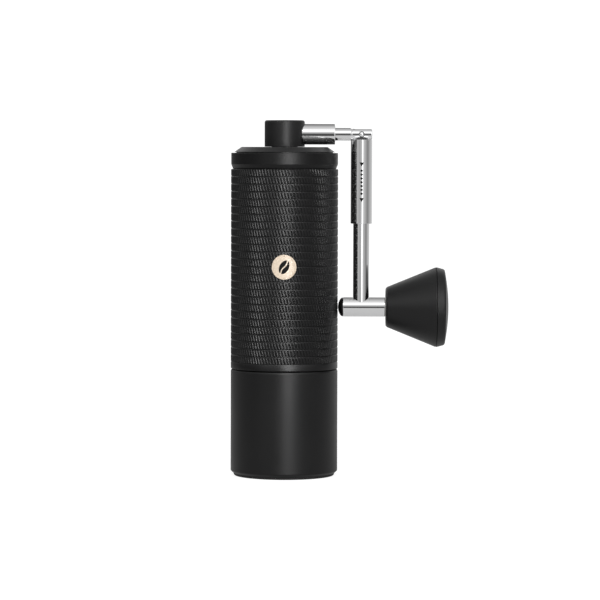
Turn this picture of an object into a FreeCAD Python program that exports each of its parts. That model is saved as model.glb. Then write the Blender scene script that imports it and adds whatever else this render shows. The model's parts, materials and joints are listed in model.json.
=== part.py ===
import FreeCAD
import Part
import Sketcher
import math
import os

from FreeCAD import Placement, Rotation, Vector

# A one-hand coffee grinder with a folding crank.
# Frame: origin at the centre of the foot's bottom face, +Z up the grinder's axis,
# the folded crank arm on the +X side. Millimetres throughout.

document = FreeCAD.newDocument("coffee_grinder")
sheet = document.addObject("Spreadsheet::Sheet", "Sizes")
sub_parts = {}


# ---------------------------------------------------------------------------
# Sizes: numbers that know the spreadsheet expression they come from
# ---------------------------------------------------------------------------

class Size:
    """A value in millimetres together with the expression that gives it."""

    def __init__(self, value, text):
        self.value = float(value)
        self.text = text

    def __add__(self, other):
        other = size_of(other)
        return Size(self.value + other.value, f"({self.text} + {other.text})")

    def __sub__(self, other):
        other = size_of(other)
        return Size(self.value - other.value, f"({self.text} - {other.text})")

    def __mul__(self, other):
        other = size_of(other)
        return Size(self.value * other.value, f"({self.text} * {other.text})")

    def __truediv__(self, other):
        other = size_of(other)
        return Size(self.value / other.value, f"({self.text} / {other.text})")

    def __radd__(self, other):
        return size_of(other) + self

    def __rsub__(self, other):
        return size_of(other) - self

    def __rmul__(self, other):
        return size_of(other) * self

    def __neg__(self):
        return Size(-self.value, f"(0 - {self.text})")


def size_of(item):
    """Wrap a plain number, and leave a Size as it is."""
    if isinstance(item, Size):
        return item
    return Size(item, f"({float(item)})")


sheet_rows = []


def driving(alias, value):
    """Put one driving dimension in the spreadsheet and return it as a Size."""
    sheet_rows.append(alias)
    row = len(sheet_rows)
    sheet.set(f"A{row}", alias)
    sheet.set(f"B{row}", str(value))
    sheet.setAlias(f"B{row}", alias)
    return Size(value, f"Sizes.{alias}")


# Fits
running_gap = driving("running_gap", 0.05)
parting_gap = driving("parting_gap", 0.1)
seat_gap = driving("seat_gap", 0.02)

# Body and catch cup
body_radius = driving("body_radius", 26.0)
shell_bore = driving("shell_bore", 23.9)
foot_height = driving("foot_height", 1.2)
foot_radius = driving("foot_radius", 24.5)
cup_top = driving("cup_top", 51.75)
cup_bore = driving("cup_bore", 23.6)
cup_floor = driving("cup_floor", 3.6)
seam_depth = driving("seam_depth", 1.0)
spigot_radius = driving("spigot_radius", 22.5)
spigot_bottom = driving("spigot_bottom", 43.5)
thread_pitch = driving("thread_pitch", 2.0)
thread_crest = driving("thread_crest", 0.5)
texture_bottom = driving("texture_bottom", 55.6)
texture_pitch = driving("texture_pitch", 3.603)
texture_groove = driving("texture_groove", 0.3)
shell_top = driving("shell_top", 149.0)
collar_base = driving("collar_base", 149.1)
collar_chamfer_top = driving("collar_chamfer_top", 151.4)
collar_top = driving("collar_top", 156.85)
collar_radius = driving("collar_radius", 25.93)
badge_height = driving("badge_height", 102.3)
badge_radius = driving("badge_radius", 6.05)

# Hopper, bearings and shaft
hopper_radius = driving("hopper_radius", 22.3)
shaft_radius = driving("shaft_radius", 4.0)
shaft_top = driving("shaft_top", 167.5)
shaft_bottom = driving("shaft_bottom", 38.0)
bearing_radius = driving("bearing_radius", 8.0)
bearing_width = driving("bearing_width", 5.0)
upper_bearing_base = driving("upper_bearing_base", 127.5)
lower_bearing_base = driving("lower_bearing_base", 76.5)
hub_wall = driving("hub_wall", 2.0)
spoke_width = driving("spoke_width", 4.0)
carrier_top = driving("carrier_top", 84.0)
liner_top = driving("liner_top", 141.0)
bracket_wall = driving("bracket_wall", 1.45)
funnel_radius = driving("funnel_radius", 16.6)
drive_low = driving("drive_low", 150.0)
drive_inscribed = driving("drive_inscribed", 3.35)
key_height = driving("key_height", 68.0)

# Burrs and grind adjustment
ring_burr_radius = driving("ring_burr_radius", 19.0)
ring_burr_base = driving("ring_burr_base", 54.0)
ring_burr_top = driving("ring_burr_top", 70.0)
cone_base = driving("cone_base", 52.5)
cone_top = driving("cone_top", 71.5)
cone_radius = driving("cone_radius", 15.0)
cone_tip_radius = driving("cone_tip_radius", 7.0)
dial_radius = driving("dial_radius", 13.0)
dial_base = driving("dial_base", 42.5)
screw_height = driving("screw_height", 62.0)
click_orbit = driving("click_orbit", 9.0)

# Lid and crank
lid_radius = driving("lid_radius", 24.35)
lid_flat_radius = driving("lid_flat_radius", 20.9)
lid_bevel_base = driving("lid_bevel_base", 157.3)
lid_top = driving("lid_top", 159.72)
lid_seat = driving("lid_seat", 153.4)
lid_underside = driving("lid_underside", 156.6)
skirt_bottom = driving("skirt_bottom", 147.5)
seal_low = driving("seal_low", 149.4)
seal_high = driving("seal_high", 151.4)
boss_bottom = driving("boss_bottom", 153.8)
hub_radius = driving("hub_radius", 9.75)
hub_base = driving("hub_base", 159.84)
hub_top = driving("hub_top", 172.67)
spindle_radius = driving("spindle_radius", 6.4)
spindle_bottom = driving("spindle_bottom", 151.6)
socket_radius = driving("socket_radius", 5.2)
socket_top = driving("socket_top", 168.2)
stub_height = driving("stub_height", 165.9)
stub_radius = driving("stub_radius", 5.0)
stub_shoulder = driving("stub_shoulder", 24.5)
stub_neck_radius = driving("stub_neck_radius", 3.1)
knuckle_radius = driving("knuckle_radius", 2.45)
knuckle_start = driving("knuckle_start", 32.0)
knuckle_taper = driving("knuckle_taper", 0.95)
knuckle_end = driving("knuckle_end", 42.45)
pivot_reach = driving("pivot_reach", 37.3)
pin_radius = driving("pin_radius", 1.2)
fork_slot = driving("fork_slot", 1.8)

# Folding arm and knob
arm_radius = driving("arm_radius", 3.95)
arm_neck_radius = driving("arm_neck_radius", 3.1)
arm_neck_start = driving("arm_neck_start", 5.5)
arm_neck_end = driving("arm_neck_end", 24.0)
sleeve_land = driving("sleeve_land", 6.6)
sleeve_bevel = driving("sleeve_bevel", 0.8)
sleeve_radius = driving("sleeve_radius", 5.24)
sleeve_top = driving("sleeve_top", 163.35)
sleeve_bottom = driving("sleeve_bottom", 122.6)
knob_height = driving("knob_height", 82.05)
tube_radius = driving("tube_radius", 4.7)
tube_start = driving("tube_start", 28.4)
tube_end = driving("tube_end", 48.95)
bumper_bulge = driving("bumper_bulge", 2.2)
axle_radius = driving("axle_radius", 3.0)
knob_start = driving("knob_start", 49.2)
knob_small_radius = driving("knob_small_radius", 9.8)
knob_large_radius = driving("knob_large_radius", 19.5)
knob_seam = driving("knob_seam", 73.75)
knob_rim_radius = driving("knob_rim_radius", 18.3)
knob_rim = driving("knob_rim", 77.6)
knob_end = driving("knob_end", 79.8)
knob_recess = driving("knob_recess", 15.0)
axle_head_start = driving("axle_head_start", 70.0)

document.recompute()


# ---------------------------------------------------------------------------
# Sketch and body helpers
# ---------------------------------------------------------------------------

def origin_item(body, role):
    """The origin plane or axis of a body, found by its role."""
    return [item for item in body.Origin.OriginFeatures if item.Role == role][0]


def bind(target, path, size):
    """Bind one property to the expression of a Size."""
    target.setExpression(path, size_of(size).text)


def pin_coordinate(sketch, kind, geometry, point, size):
    """Fix one coordinate of a sketch point, measured from the sketch's origin."""
    size = size_of(size)
    if abs(size.value) < 1e-9:
        axis = -2 if kind == "DistanceX" else -1
        sketch.addConstraint(Sketcher.Constraint("PointOnObject", geometry, point, axis))
        return
    if size.value < 0:
        size = -size
        constraint = Sketcher.Constraint(kind, geometry, point, -1, 1, size.value)
    else:
        constraint = Sketcher.Constraint(kind, -1, 1, geometry, point, size.value)
    index = sketch.addConstraint(constraint)
    sketch.renameConstraint(index, f"{kind}_{geometry}")
    bind(sketch, f"Constraints.{kind}_{geometry}", size)


def new_body(name):
    """A PartDesign body whose label names its file."""
    body = document.addObject("PartDesign::Body", f"{name}_body")
    body.Label = name
    return body


def new_sketch(body, name, plane, offset=None):
    sketch = body.newObject("Sketcher::SketchObject", name)
    sketch.AttachmentSupport = (origin_item(body, plane), [""])
    sketch.MapMode = "FlatFace"
    if offset is not None:
        sketch.AttachmentOffset = offset
    return sketch


def polygon_sketch(body, name, plane, points, offset=None):
    """A closed outline of straight lines whose corners are bound to sizes."""
    sketch = new_sketch(body, name, plane, offset)
    spots = [Vector(size_of(x).value, size_of(y).value, 0) for x, y in points]
    count = len(spots)
    for index in range(count):
        segment = Part.LineSegment(spots[index], spots[(index + 1) % count])
        sketch.addGeometry(segment, False)
    for index in range(count):
        following = (index + 1) % count
        sketch.addConstraint(Sketcher.Constraint("Coincident", index, 2, following, 1))
    for index, (x, y) in enumerate(points):
        pin_coordinate(sketch, "DistanceX", index, 1, x)
        pin_coordinate(sketch, "DistanceY", index, 1, y)
    return sketch


def circle_sketch(body, name, plane, centre, radius, offset=None):
    sketch = new_sketch(body, name, plane, offset)
    radius = size_of(radius)
    middle = Vector(size_of(centre[0]).value, size_of(centre[1]).value, 0)
    sketch.addGeometry(Part.Circle(middle, Vector(0, 0, 1), radius.value), False)
    pin_coordinate(sketch, "DistanceX", 0, 3, centre[0])
    pin_coordinate(sketch, "DistanceY", 0, 3, centre[1])
    index = sketch.addConstraint(Sketcher.Constraint("Radius", 0, radius.value))
    sketch.renameConstraint(index, "radius")
    bind(sketch, "Constraints.radius", radius)
    return sketch


def revolve(body, name, outline, axis="V_Axis", kind="PartDesign::Revolution"):
    """Revolve an outline in the XZ plane about Z (V_Axis) or X (H_Axis)."""
    sketch = polygon_sketch(body, f"{name}_outline", "XZ_Plane", outline)
    feature = body.newObject(kind, name)
    feature.Profile = sketch
    feature.ReferenceAxis = (sketch, [axis])
    feature.Angle = 360
    document.recompute()
    return feature


def turned(name, outline, axis="V_Axis"):
    """A turned piece, as a body with one revolution."""
    body = new_body(name)
    revolve(body, f"{name}_turned", outline, axis)
    return body


def ring(name, inner, outer, low, high):
    """A plain ring about the grinder's axis."""
    return turned(name, [(inner, low), (outer, low), (outer, high), (inner, high)])


def pocket(body, name, sketch, depth=None, reverse=False):
    """Cut a sketch out of a body: right through both ways, or to a depth."""
    before = body.Shape.Volume
    feature = body.newObject("PartDesign::Pocket", name)
    feature.Profile = sketch
    if depth is None:
        feature.Type = "ThroughAll"
        feature.SideType = "Symmetric"
    else:
        feature.Type = "Length"
        feature.Reversed = reverse
        bind(feature, "Length", depth)
    document.recompute()
    if body.Shape.Volume > before - 1e-6:
        raise RuntimeError(f"{name} cuts nothing")
    return feature


def polar(body, name, feature, count, axis="Z_Axis"):
    """Repeat one feature evenly round an origin axis of its body."""
    pattern = body.newObject("PartDesign::PolarPattern", name)
    pattern.Originals = [feature]
    pattern.Axis = (origin_item(body, axis), [""])
    pattern.Angle = 360
    pattern.Occurrences = count
    body.Tip = pattern
    document.recompute()
    return pattern


def ring_edges(shape, radius, height):
    """Names of the round edges about Z that have one radius and height."""
    names = []
    for index, edge in enumerate(shape.Edges):
        curve = edge.Curve
        if not isinstance(curve, Part.Circle):
            continue
        middle = curve.Center
        on_axis = abs(middle.x) < 1e-6 and abs(middle.y) < 1e-6
        if on_axis and abs(middle.z - height) < 1e-6 and abs(curve.Radius - radius) < 1e-6:
            names.append(f"Edge{index + 1}")
    return names


def soften(body, name, radius, height, amount, kind="PartDesign::Fillet"):
    """Round or chamfer the edge about Z at one radius and height."""
    base = body.Tip
    edges = ring_edges(base.Shape, size_of(radius).value, size_of(height).value)
    if not edges:
        raise RuntimeError(f"{name} finds no edge")
    feature = body.newObject(kind, name)
    feature.Base = (base, edges)
    bind(feature, "Radius" if kind.endswith("Fillet") else "Size", amount)
    document.recompute()
    return feature


def keep(item, name=None):
    """Register a finished sub-part under its file name."""
    if name is not None:
        item.Label = name
    sub_parts[item.Label] = item
    return item


def group(name, members):
    """Separate identical solids that share one node."""
    compound = document.addObject("Part::Compound", f"{name}_group")
    compound.Links = members
    return keep(compound, name)


def zigzag(radius, crest, low, pitch, count):
    """Corner points of a thread-like row of ridges, upwards along one wall."""
    points = []
    for index in range(count):
        base = low + pitch * index
        points.append((radius, base))
        points.append((radius + crest, base + pitch * 0.35))
        points.append((radius + crest, base + pitch * 0.5))
        points.append((radius, base + pitch * 0.85))
    return points


# ---------------------------------------------------------------------------
# Catch cup and foot
# ---------------------------------------------------------------------------

def make_cup():
    mouth_threads = zigzag(cup_bore, -(thread_crest - 0.05), cup_top - 7.6, thread_pitch, 3)
    recess = foot_radius - 3.45
    outline = [
        (0, foot_height + 0.9),
        (recess, foot_height + 0.9),
        (recess, foot_height),
        (foot_radius + 0.2, foot_height),
        (body_radius, foot_height + 1.2),
        (body_radius, cup_top - seam_depth),
        (body_radius - seam_depth, cup_top),
        (cup_bore, cup_top),
    ]
    outline += list(reversed(mouth_threads))
    outline += [(cup_bore, cup_floor), (0, cup_floor)]
    body = turned("catch_cup", outline)
    soften(body, "cup_inner_corner", cup_bore, cup_floor, 3.0)
    soften(body, "cup_bottom_rounding", body_radius, foot_height + 1.2, 0.6)
    keep(body)


def make_foot_pad():
    boss = foot_radius - 3.5
    outline = [
        (0, 0),
        (foot_radius - 0.45, 0),
        (foot_radius, 0.45),
        (foot_radius, foot_height),
        (boss, foot_height),
        (boss, foot_height + 0.88),
        (0, foot_height + 0.88),
    ]
    keep(turned("foot_pad", outline))


# ---------------------------------------------------------------------------
# Outer shell, collar, liner and badge
# ---------------------------------------------------------------------------

def make_outer_body():
    """The shell: chamfered lower edge and the ring grooves between its rows."""
    low = cup_top + parting_gap
    rows = 26
    outline = [(shell_bore, low), (body_radius - seam_depth, low), (body_radius, low + seam_depth)]
    for index in range(rows):
        centre = texture_bottom + texture_pitch * index
        outline.append((body_radius, centre - 0.3))
        outline.append((body_radius - texture_groove, centre - 0.1))
        outline.append((body_radius - texture_groove, centre + 0.1))
        outline.append((body_radius, centre + 0.3))
    outline += [(body_radius, shell_top - 0.2), (body_radius - 0.2, shell_top)]
    outline += [(shell_bore, shell_top)]
    body = turned("outer_body", outline)
    seat = circle_sketch(body, "badge_seat_circle", "XZ_Plane", (0, badge_height),
                         badge_radius + seat_gap, front_offset(body_radius - 0.85))
    pocket(body, "badge_seat", seat, size_of(3.0), reverse=True)
    keep(body)


def front_offset(distance):
    """Moves an XZ sketch towards the front face, which is the -Y side."""
    return Placement(Vector(0, 0, size_of(distance).value), Rotation())


def make_badge():
    """A round medallion let into the front of the shell, its face slightly crowned."""
    body = new_body("body_badge")
    face = circle_sketch(body, "badge_circle", "XZ_Plane", (0, badge_height),
                         badge_radius, front_offset(body_radius - 0.84))
    pad = body.newObject("PartDesign::Pad", "badge_disc")
    pad.Profile = face
    pad.Length = 2.0
    document.recompute()
    crown = document.addObject("Part::Cylinder", "badge_crown")
    bind(crown, "Radius", body_radius + 0.14)
    bind(crown, "Height", body_radius * 6)
    badge = document.addObject("Part::MultiCommon", "badge_shape")
    badge.Shapes = [body, crown]
    body.Label = "badge_blank"
    keep(badge, "body_badge")


def make_collar():
    outline = [
        (hopper_radius + 0.6, liner_top + 0.2),
        (shell_bore - 0.05, liner_top + 0.2),
        (shell_bore - 0.05, collar_base),
        (body_radius - 0.95, collar_base),
        (collar_radius, collar_chamfer_top),
        (collar_radius, collar_top - 0.25),
        (collar_radius - 0.25, collar_top),
        (lid_radius + 0.25, collar_top),
        (lid_radius + 0.25, lid_seat),
        (hopper_radius + 0.6, lid_seat),
    ]
    keep(turned("top_collar", outline))


def make_liner():
    keep(ring("hopper_liner", hopper_radius, shell_bore - 0.05, carrier_top + 0.1, liner_top))


# ---------------------------------------------------------------------------
# Burr carrier, bearing bracket and bearings
# ---------------------------------------------------------------------------

def cross_spokes(body, name, inner, outer, low, high):
    """Four diagonal spokes: a pad on a raised plane, repeated round the axis."""
    half = spoke_width / 2
    plane = Placement(Vector(0, 0, low.value), Rotation(Vector(0, 0, 1), 45))
    corners = [(inner, -half), (outer, -half), (outer, half), (inner, half)]
    sketch = polygon_sketch(body, f"{name}_outline", "XY_Plane", corners, plane)
    pad = body.newObject("PartDesign::Pad", name)
    pad.Profile = sketch
    bind(pad, "Length", high - low)
    document.recompute()
    polar(body, f"{name}_pattern", pad, 4)


def bearing_housing(base):
    """Outline of a bearing hub: a lip below the bearing and a clip groove above it."""
    outer = bearing_radius + hub_wall
    bore = bearing_radius + seat_gap
    top = base + bearing_width
    return [
        (6.6, base - 1.0),
        (outer, base - 1.0),
        (outer, top + 1.6),
        (bore, top + 1.6),
        (bore, top + 0.85),
        (bore + 0.6, top + 0.85),
        (bore + 0.6, top + 0.1),
        (bore, top + 0.1),
        (bore, base),
        (6.6, base),
    ]


def make_carrier():
    """Aluminium carrier: threaded spigot, ring burr seat, funnel and bracket seat."""
    bore = hopper_radius - 0.6
    low = cup_top + parting_gap
    flange = shell_bore - 0.05
    ridges = zigzag(spigot_radius, thread_crest, spigot_bottom + 0.8, thread_pitch, 3)
    outline = [(ring_burr_radius + seat_gap, spigot_bottom), (spigot_radius, spigot_bottom)]
    outline += ridges
    outline += [
        (spigot_radius, low + 0.05),
        (flange, low + 0.05),
        (flange, carrier_top),
        (bore, carrier_top),
        (bore, lower_bearing_base - 1.0),
        (bore - bracket_wall, lower_bearing_base - 1.0),
        (funnel_radius, ring_burr_top),
        (ring_burr_radius + seat_gap, ring_burr_top),
    ]
    body = turned("burr_carrier", outline)
    screw_hole = circle_sketch(body, "burr_screw_hole", "YZ_Plane", (0, screw_height), 1.55)
    hole = pocket(body, "burr_screw_cut", screw_hole, body_radius, reverse=True)
    polar(body, "burr_screw_cuts", hole, 3)
    keep(body)


def make_bracket(prefix, base, bore):
    """Four-spoked bracket pressed into a bore, with the housing for one bearing."""
    low = base - 1.0
    high = base + bearing_width + 1.6
    outer = bore - seat_gap
    inner = outer - bracket_wall
    body = turned(f"{prefix}_bracket", [(inner, low), (outer, low), (outer, high), (inner, high)])
    cross_spokes(body, f"{prefix}_spoke", bearing_radius + 1.0, inner + 0.5, base, base + bearing_width)
    revolve(body, f"{prefix}_hub", bearing_housing(base))
    keep(body)


def make_bearing(prefix, base):
    """Deep-groove ball bearing: two races, a ball set and a cage."""
    middle = base + bearing_width / 2
    ball_orbit = (shaft_radius + bearing_radius) / 2
    ball_radius = 1.35
    track = ball_radius + 0.05
    shoulder = 0.62
    rise = math.sqrt(track ** 2 - shoulder ** 2)

    def race(name, wall, edge, side):
        profile = [(wall, base), (edge, base), (edge, middle - rise)]
        for degrees in (-45, -22, 0, 22, 45):
            angle = math.radians(degrees)
            radius = ball_orbit + side * track * math.cos(angle)
            profile.append((radius, middle + track * math.sin(angle)))
        profile += [(edge, middle + rise), (edge, base + bearing_width)]
        profile += [(wall, base + bearing_width)]
        keep(turned(name, profile))

    race(f"{prefix}_bearing_outer", bearing_radius, ball_orbit + shoulder, 1)
    race(f"{prefix}_bearing_inner", shaft_radius + seat_gap, ball_orbit - shoulder, -1)
    balls = []
    cutters = []
    count = 8
    for index in range(count):
        angle = 2 * math.pi * index / count
        spot = Vector(ball_orbit.value * math.cos(angle), ball_orbit.value * math.sin(angle),
                      middle.value)
        for members, radius in ((balls, ball_radius), (cutters, ball_radius + 0.05)):
            ball = document.addObject("Part::Sphere", f"{prefix}_ball")
            ball.Radius = radius
            ball.Placement = Placement(spot, Rotation())
            members.append(ball)
    group(f"{prefix}_bearing_balls", balls)
    band = turned(f"{prefix}_cage_band", [
        (ball_orbit - 0.4, middle - 1.9), (ball_orbit + 0.4, middle - 1.9),
        (ball_orbit + 0.4, middle + 0.7), (ball_orbit - 0.4, middle + 0.7)])
    pockets = document.addObject("Part::MultiFuse", f"{prefix}_cage_pockets")
    pockets.Shapes = cutters
    cage = document.addObject("Part::Cut", f"{prefix}_cage_shape")
    cage.Base = band
    cage.Tool = pockets
    keep(cage, f"{prefix}_bearing_cage")


def make_clips():
    """Internal snap rings above both bearings, with the gap that lets them close."""
    members = []
    for index, base in enumerate((upper_bearing_base, lower_bearing_base)):
        low = base + bearing_width + 0.15
        inner = bearing_radius - 0.9
        outer = bearing_radius + 0.55
        clip = turned(f"bearing_clip_{index}", [
            (inner, low), (outer, low), (outer, low + 0.6), (inner, low + 0.6)])
        half = 1.5
        opening = polygon_sketch(clip, f"clip_gap_{index}", "XY_Plane",
                                 [(3.0, -half), (12.0, -half), (12.0, half), (3.0, half)])
        pocket(clip, f"clip_cut_{index}", opening)
        members.append(clip)
    group("bearing_clips", members)


# ---------------------------------------------------------------------------
# Shaft
# ---------------------------------------------------------------------------

def make_shaft():
    """Drive shaft: pentagon on top, plain journals, threaded end for the dial."""
    outline = [
        (0, shaft_bottom),
        (2.4, shaft_bottom),
        (2.9, shaft_bottom + 0.5),
        (2.9, cone_base + 0.2),
        (shaft_radius, cone_base + 0.2),
        (shaft_radius, shaft_top - 0.8),
        (shaft_radius - 0.8, shaft_top),
        (0, shaft_top),
    ]
    body = turned("drive_shaft", outline)
    reach = shaft_radius * 2
    corners = [(drive_inscribed, -reach), (reach, -reach), (reach, reach), (drive_inscribed, reach)]
    for angle in (0, 72, 144, 216, 288):
        offset = Placement(Vector(0, 0, drive_low.value), Rotation(Vector(0, 0, 1), angle))
        flat = polygon_sketch(body, f"drive_flat_{angle}", "XY_Plane", corners, offset)
        pocket(body, f"drive_cut_{angle}", flat, size_of(20.0), reverse=True)
    pocket(body, "key_hole", circle_sketch(body, "key_hole_circle", "XZ_Plane", (0, key_height), 1.02))
    groove_low = upper_bearing_base + bearing_width + 0.1
    revolve(body, "shaft_clip_groove", [
        (3.4, groove_low), (5.0, groove_low), (5.0, groove_low + 0.9), (3.4, groove_low + 0.9)],
        kind="PartDesign::Groove")
    keep(body)


def make_shaft_clip():
    low = upper_bearing_base + bearing_width + 0.15
    body = turned("shaft_circlip", [(3.45, low), (6.0, low), (6.0, low + 0.8), (3.45, low + 0.8)])
    opening = polygon_sketch(body, "circlip_gap", "XY_Plane",
                             [(1.0, -1.6), (8.0, -1.6), (8.0, 1.6), (1.0, 1.6)])
    pocket(body, "circlip_cut", opening)
    keep(body)


def make_key():
    """Cross pin that turns the cone burr and lets it slide."""
    pin = document.addObject("Part::Cylinder", "burr_key_pin")
    pin.Radius = 1.0
    pin.Height = 10.0
    pin.Placement = Placement(Vector(0, 5.0, key_height.value), Rotation(Vector(1, 0, 0), 90))
    keep(pin, "burr_key")


def coil(name, wire, mean, low, high, turns, place=Vector()):
    """A compression spring about Z: eight-sided wire lofted from section to section."""
    sides = 8
    steps = 18 * turns
    travel = high - low - 2 * wire
    lean = math.atan2(travel / turns, 2 * math.pi * mean)
    sections = []
    for step in range(steps + 1):
        turn = 2 * math.pi * turns * step / steps
        outward = Vector(math.cos(turn), math.sin(turn), 0)
        upward = Vector(math.sin(turn) * math.sin(lean), -math.cos(turn) * math.sin(lean), math.cos(lean))
        middle = outward * mean + Vector(0, 0, low + wire + travel * step / steps)
        corners = []
        for side in range(sides + 1):
            angle = 2 * math.pi * side / sides
            corners.append(middle + outward * (wire * math.cos(angle)) + upward * (wire * math.sin(angle)))
        sections.append(Part.makePolygon(corners))
    spring = document.addObject("Part::Feature", f"{name}_loft")
    spring.Shape = Part.makeLoft(sections, True, True)
    spring.Placement = Placement(place, Rotation())
    return spring


# ---------------------------------------------------------------------------
# Burrs
# ---------------------------------------------------------------------------

def tooth_notch(body, name, radius, height, lean, twist, half_width, depth, length):
    """A V notch cut down a cone's surface; a negative depth cuts away from the axis."""
    tilt = Rotation(Vector(1, 0, 0), twist).multiply(Rotation(Vector(0, 1, 0), 180 - lean))
    offset = Placement(Vector(size_of(radius).value, 0, size_of(height).value), tilt)
    corners = [(depth, 0), (-depth, -half_width), (-depth, half_width)]
    sketch = polygon_sketch(body, f"{name}_outline", "XY_Plane", corners, offset)
    return pocket(body, name, sketch, size_of(length), reverse=True)


def make_cone_burr():
    slope = math.degrees(math.atan2(cone_radius.value - cone_tip_radius.value,
                                    cone_top.value - cone_base.value - 1.5))
    bore = shaft_radius + running_gap
    outline = [
        (bore, cone_base),
        (cone_radius - 0.6, cone_base),
        (cone_radius, cone_base + 0.6),
        (cone_radius, cone_base + 1.5),
        (cone_tip_radius, cone_top),
        (bore, cone_top),
    ]
    body = turned("cone_burr", outline)
    cone_feed_cuts(body, slope)
    low = key_height - 3.5
    high = key_height + 7
    slot = polygon_sketch(body, "key_slot_outline", "XZ_Plane",
                          [(-1.05, low), (1.05, low), (1.05, high), (-1.05, high)])
    pocket(body, "key_slot", slot)
    inner = click_orbit - 0.8
    outer = click_orbit + 0.8
    floor = cone_base + 0.4
    track = [(inner, cone_base - 1), (outer, cone_base - 1), (outer, floor), (inner, floor)]
    revolve(body, "click_track", track, kind="PartDesign::Groove")
    dimple = circle_sketch(body, "click_dimple_circle", "XY_Plane", (click_orbit, 0), 0.9,
                           Placement(Vector(0, 0, cone_base.value), Rotation()))
    first = pocket(body, "click_dimple", dimple, size_of(0.8), reverse=True)
    polar(body, "click_dimples", first, 12)
    keep(body)


def cone_feed_cuts(body, slope):
    """Six deep feed flutes above, and fine finishing teeth round the foot."""
    flute = tooth_notch(body, "feed_flute", cone_tip_radius + 0.6, cone_top + 1.0,
                        slope, 14.0, 2.2, 1.7, 14.0)
    polar(body, "feed_flutes", flute, 6)
    tooth = tooth_notch(body, "fine_tooth", cone_radius - 3.0, cone_base + 8.0,
                        slope, 12.0, 0.55, 0.55, 11.0)
    polar(body, "fine_teeth", tooth, 36)


def make_ring_burr():
    exit_radius = cone_radius + 0.35
    mouth_radius = size_of(12.7)
    outline = [
        (exit_radius, ring_burr_base),
        (ring_burr_radius, ring_burr_base),
        (ring_burr_radius, ring_burr_top - 0.1),
        (mouth_radius + 1.9, ring_burr_top - 0.1),
        (mouth_radius, ring_burr_top - 2.0),
    ]
    body = turned("ring_burr", outline)
    throat = ring_burr_top.value - 2.0 - ring_burr_base.value
    lean = math.degrees(math.atan2(exit_radius.value - mouth_radius.value, throat))
    tooth = tooth_notch(body, "ring_tooth", mouth_radius - 0.2, ring_burr_top + 0.5, lean, -10.0,
                        0.6, -0.6, 19.0)
    polar(body, "ring_teeth", tooth, 36)
    keep(body)


def make_burr_screws():
    """Three grub screws that hold the ring burr in its carrier."""
    members = []
    for index in range(3):
        screw = document.addObject("Part::Cylinder", f"burr_screw_{index}")
        screw.Radius = 1.5
        screw.Height = 4.4
        key = document.addObject("Part::Prism", f"burr_screw_key_{index}")
        key.Polygon = 6
        key.Circumradius = 0.85
        key.Height = 2.0
        key.Placement = Placement(Vector(0, 0, 2.8), Rotation())
        body = document.addObject("Part::Cut", f"burr_screw_cut_{index}")
        body.Base = screw
        body.Tool = key
        turn = Rotation(Vector(0, 0, 1), 120 * index).multiply(Rotation(Vector(0, 1, 0), 90))
        inner = Vector(ring_burr_radius.value + 0.05, 0, screw_height.value)
        reach = Rotation(Vector(0, 0, 1), 120 * index).multVec(inner)
        body.Placement = Placement(reach, turn)
        members.append(body)
    group("burr_screws", members)


# ---------------------------------------------------------------------------
# Grind dial and its click balls
# ---------------------------------------------------------------------------

def make_dial():
    top = cone_base - 0.1
    outline = [
        (3.0, dial_base),
        (dial_radius - 1.0, dial_base),
        (dial_radius, dial_base + 1.0),
        (dial_radius, dial_base + 6.0),
        (dial_radius - 1.2, dial_base + 7.0),
        (11.0, top),
        (3.0, top),
    ]
    body = turned("grind_dial", outline)
    scallop = circle_sketch(body, "scallop_circle", "XY_Plane", (dial_radius + 1.3, 0), 2.0)
    first = pocket(body, "scallop", scallop)
    polar(body, "scallops", first, 12)
    well = circle_sketch(body, "click_well_circle", "XY_Plane", (click_orbit, 0), 1.05,
                         Placement(Vector(0, 0, top.value + 0.5), Rotation()))
    first_well = pocket(body, "click_well", well, size_of(6.0))
    polar(body, "click_wells", first_well, 2)
    keep(body)
    balls = []
    springs = []
    for index in range(2):
        side = click_orbit.value * (1 - 2 * index)
        ball = document.addObject("Part::Sphere", f"click_ball_{index}")
        ball.Radius = 1.0
        ball.Placement = Placement(Vector(side, 0, top.value - 0.65), Rotation())
        balls.append(ball)
        springs.append(coil(f"click_spring_{index}", 0.16, 0.72, top.value - 5.4,
                            top.value - 1.75, 5, Vector(side, 0, 0)))
    group("click_balls", balls)
    group("click_springs", springs)


# ---------------------------------------------------------------------------
# Lid
# ---------------------------------------------------------------------------

def make_lid():
    """Bevelled lid whose skirt drops inside the collar, with its seal and bush."""
    skirt = hopper_radius
    seat = lid_seat + running_gap
    bush_bore = spindle_radius + 1.22
    bush_flange = size_of(9.0)
    boss = bush_flange + 0.2
    outline = [
        (skirt - 2.5, skirt_bottom),
        (skirt - 0.5, skirt_bottom),
        (skirt, skirt_bottom + 0.5),
        (skirt, seal_low),
        (skirt - 0.9, seal_low),
        (skirt - 0.9, seal_high),
        (skirt, seal_high),
        (skirt, seat),
        (lid_radius, seat),
        (lid_radius, lid_bevel_base),
        (lid_flat_radius, lid_top),
        (bush_flange, lid_top),
        (bush_flange, lid_top - 0.5),
        (bush_bore, lid_top - 0.5),
        (bush_bore, boss_bottom),
        (boss, boss_bottom),
        (boss, lid_underside),
        (skirt - 2.5, lid_underside),
    ]
    keep(turned("lid_cover", outline))
    keep(turned("lid_seal", [
        (skirt - 0.85, seal_low + 0.05), (skirt, seal_low + 0.05), (skirt + 0.45, seal_low + 0.7),
        (skirt + 0.45, seal_high - 0.7), (skirt, seal_high - 0.05), (skirt - 0.85, seal_high - 0.05)]))
    keep(turned("lid_bush", [
        (spindle_radius + running_gap, boss_bottom), (bush_bore - seat_gap, boss_bottom),
        (bush_bore - seat_gap, lid_top - 0.48), (bush_flange - 0.05, lid_top - 0.48),
        (bush_flange - 0.05, lid_top + 0.05), (spindle_radius + running_gap, lid_top + 0.05)]))


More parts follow.
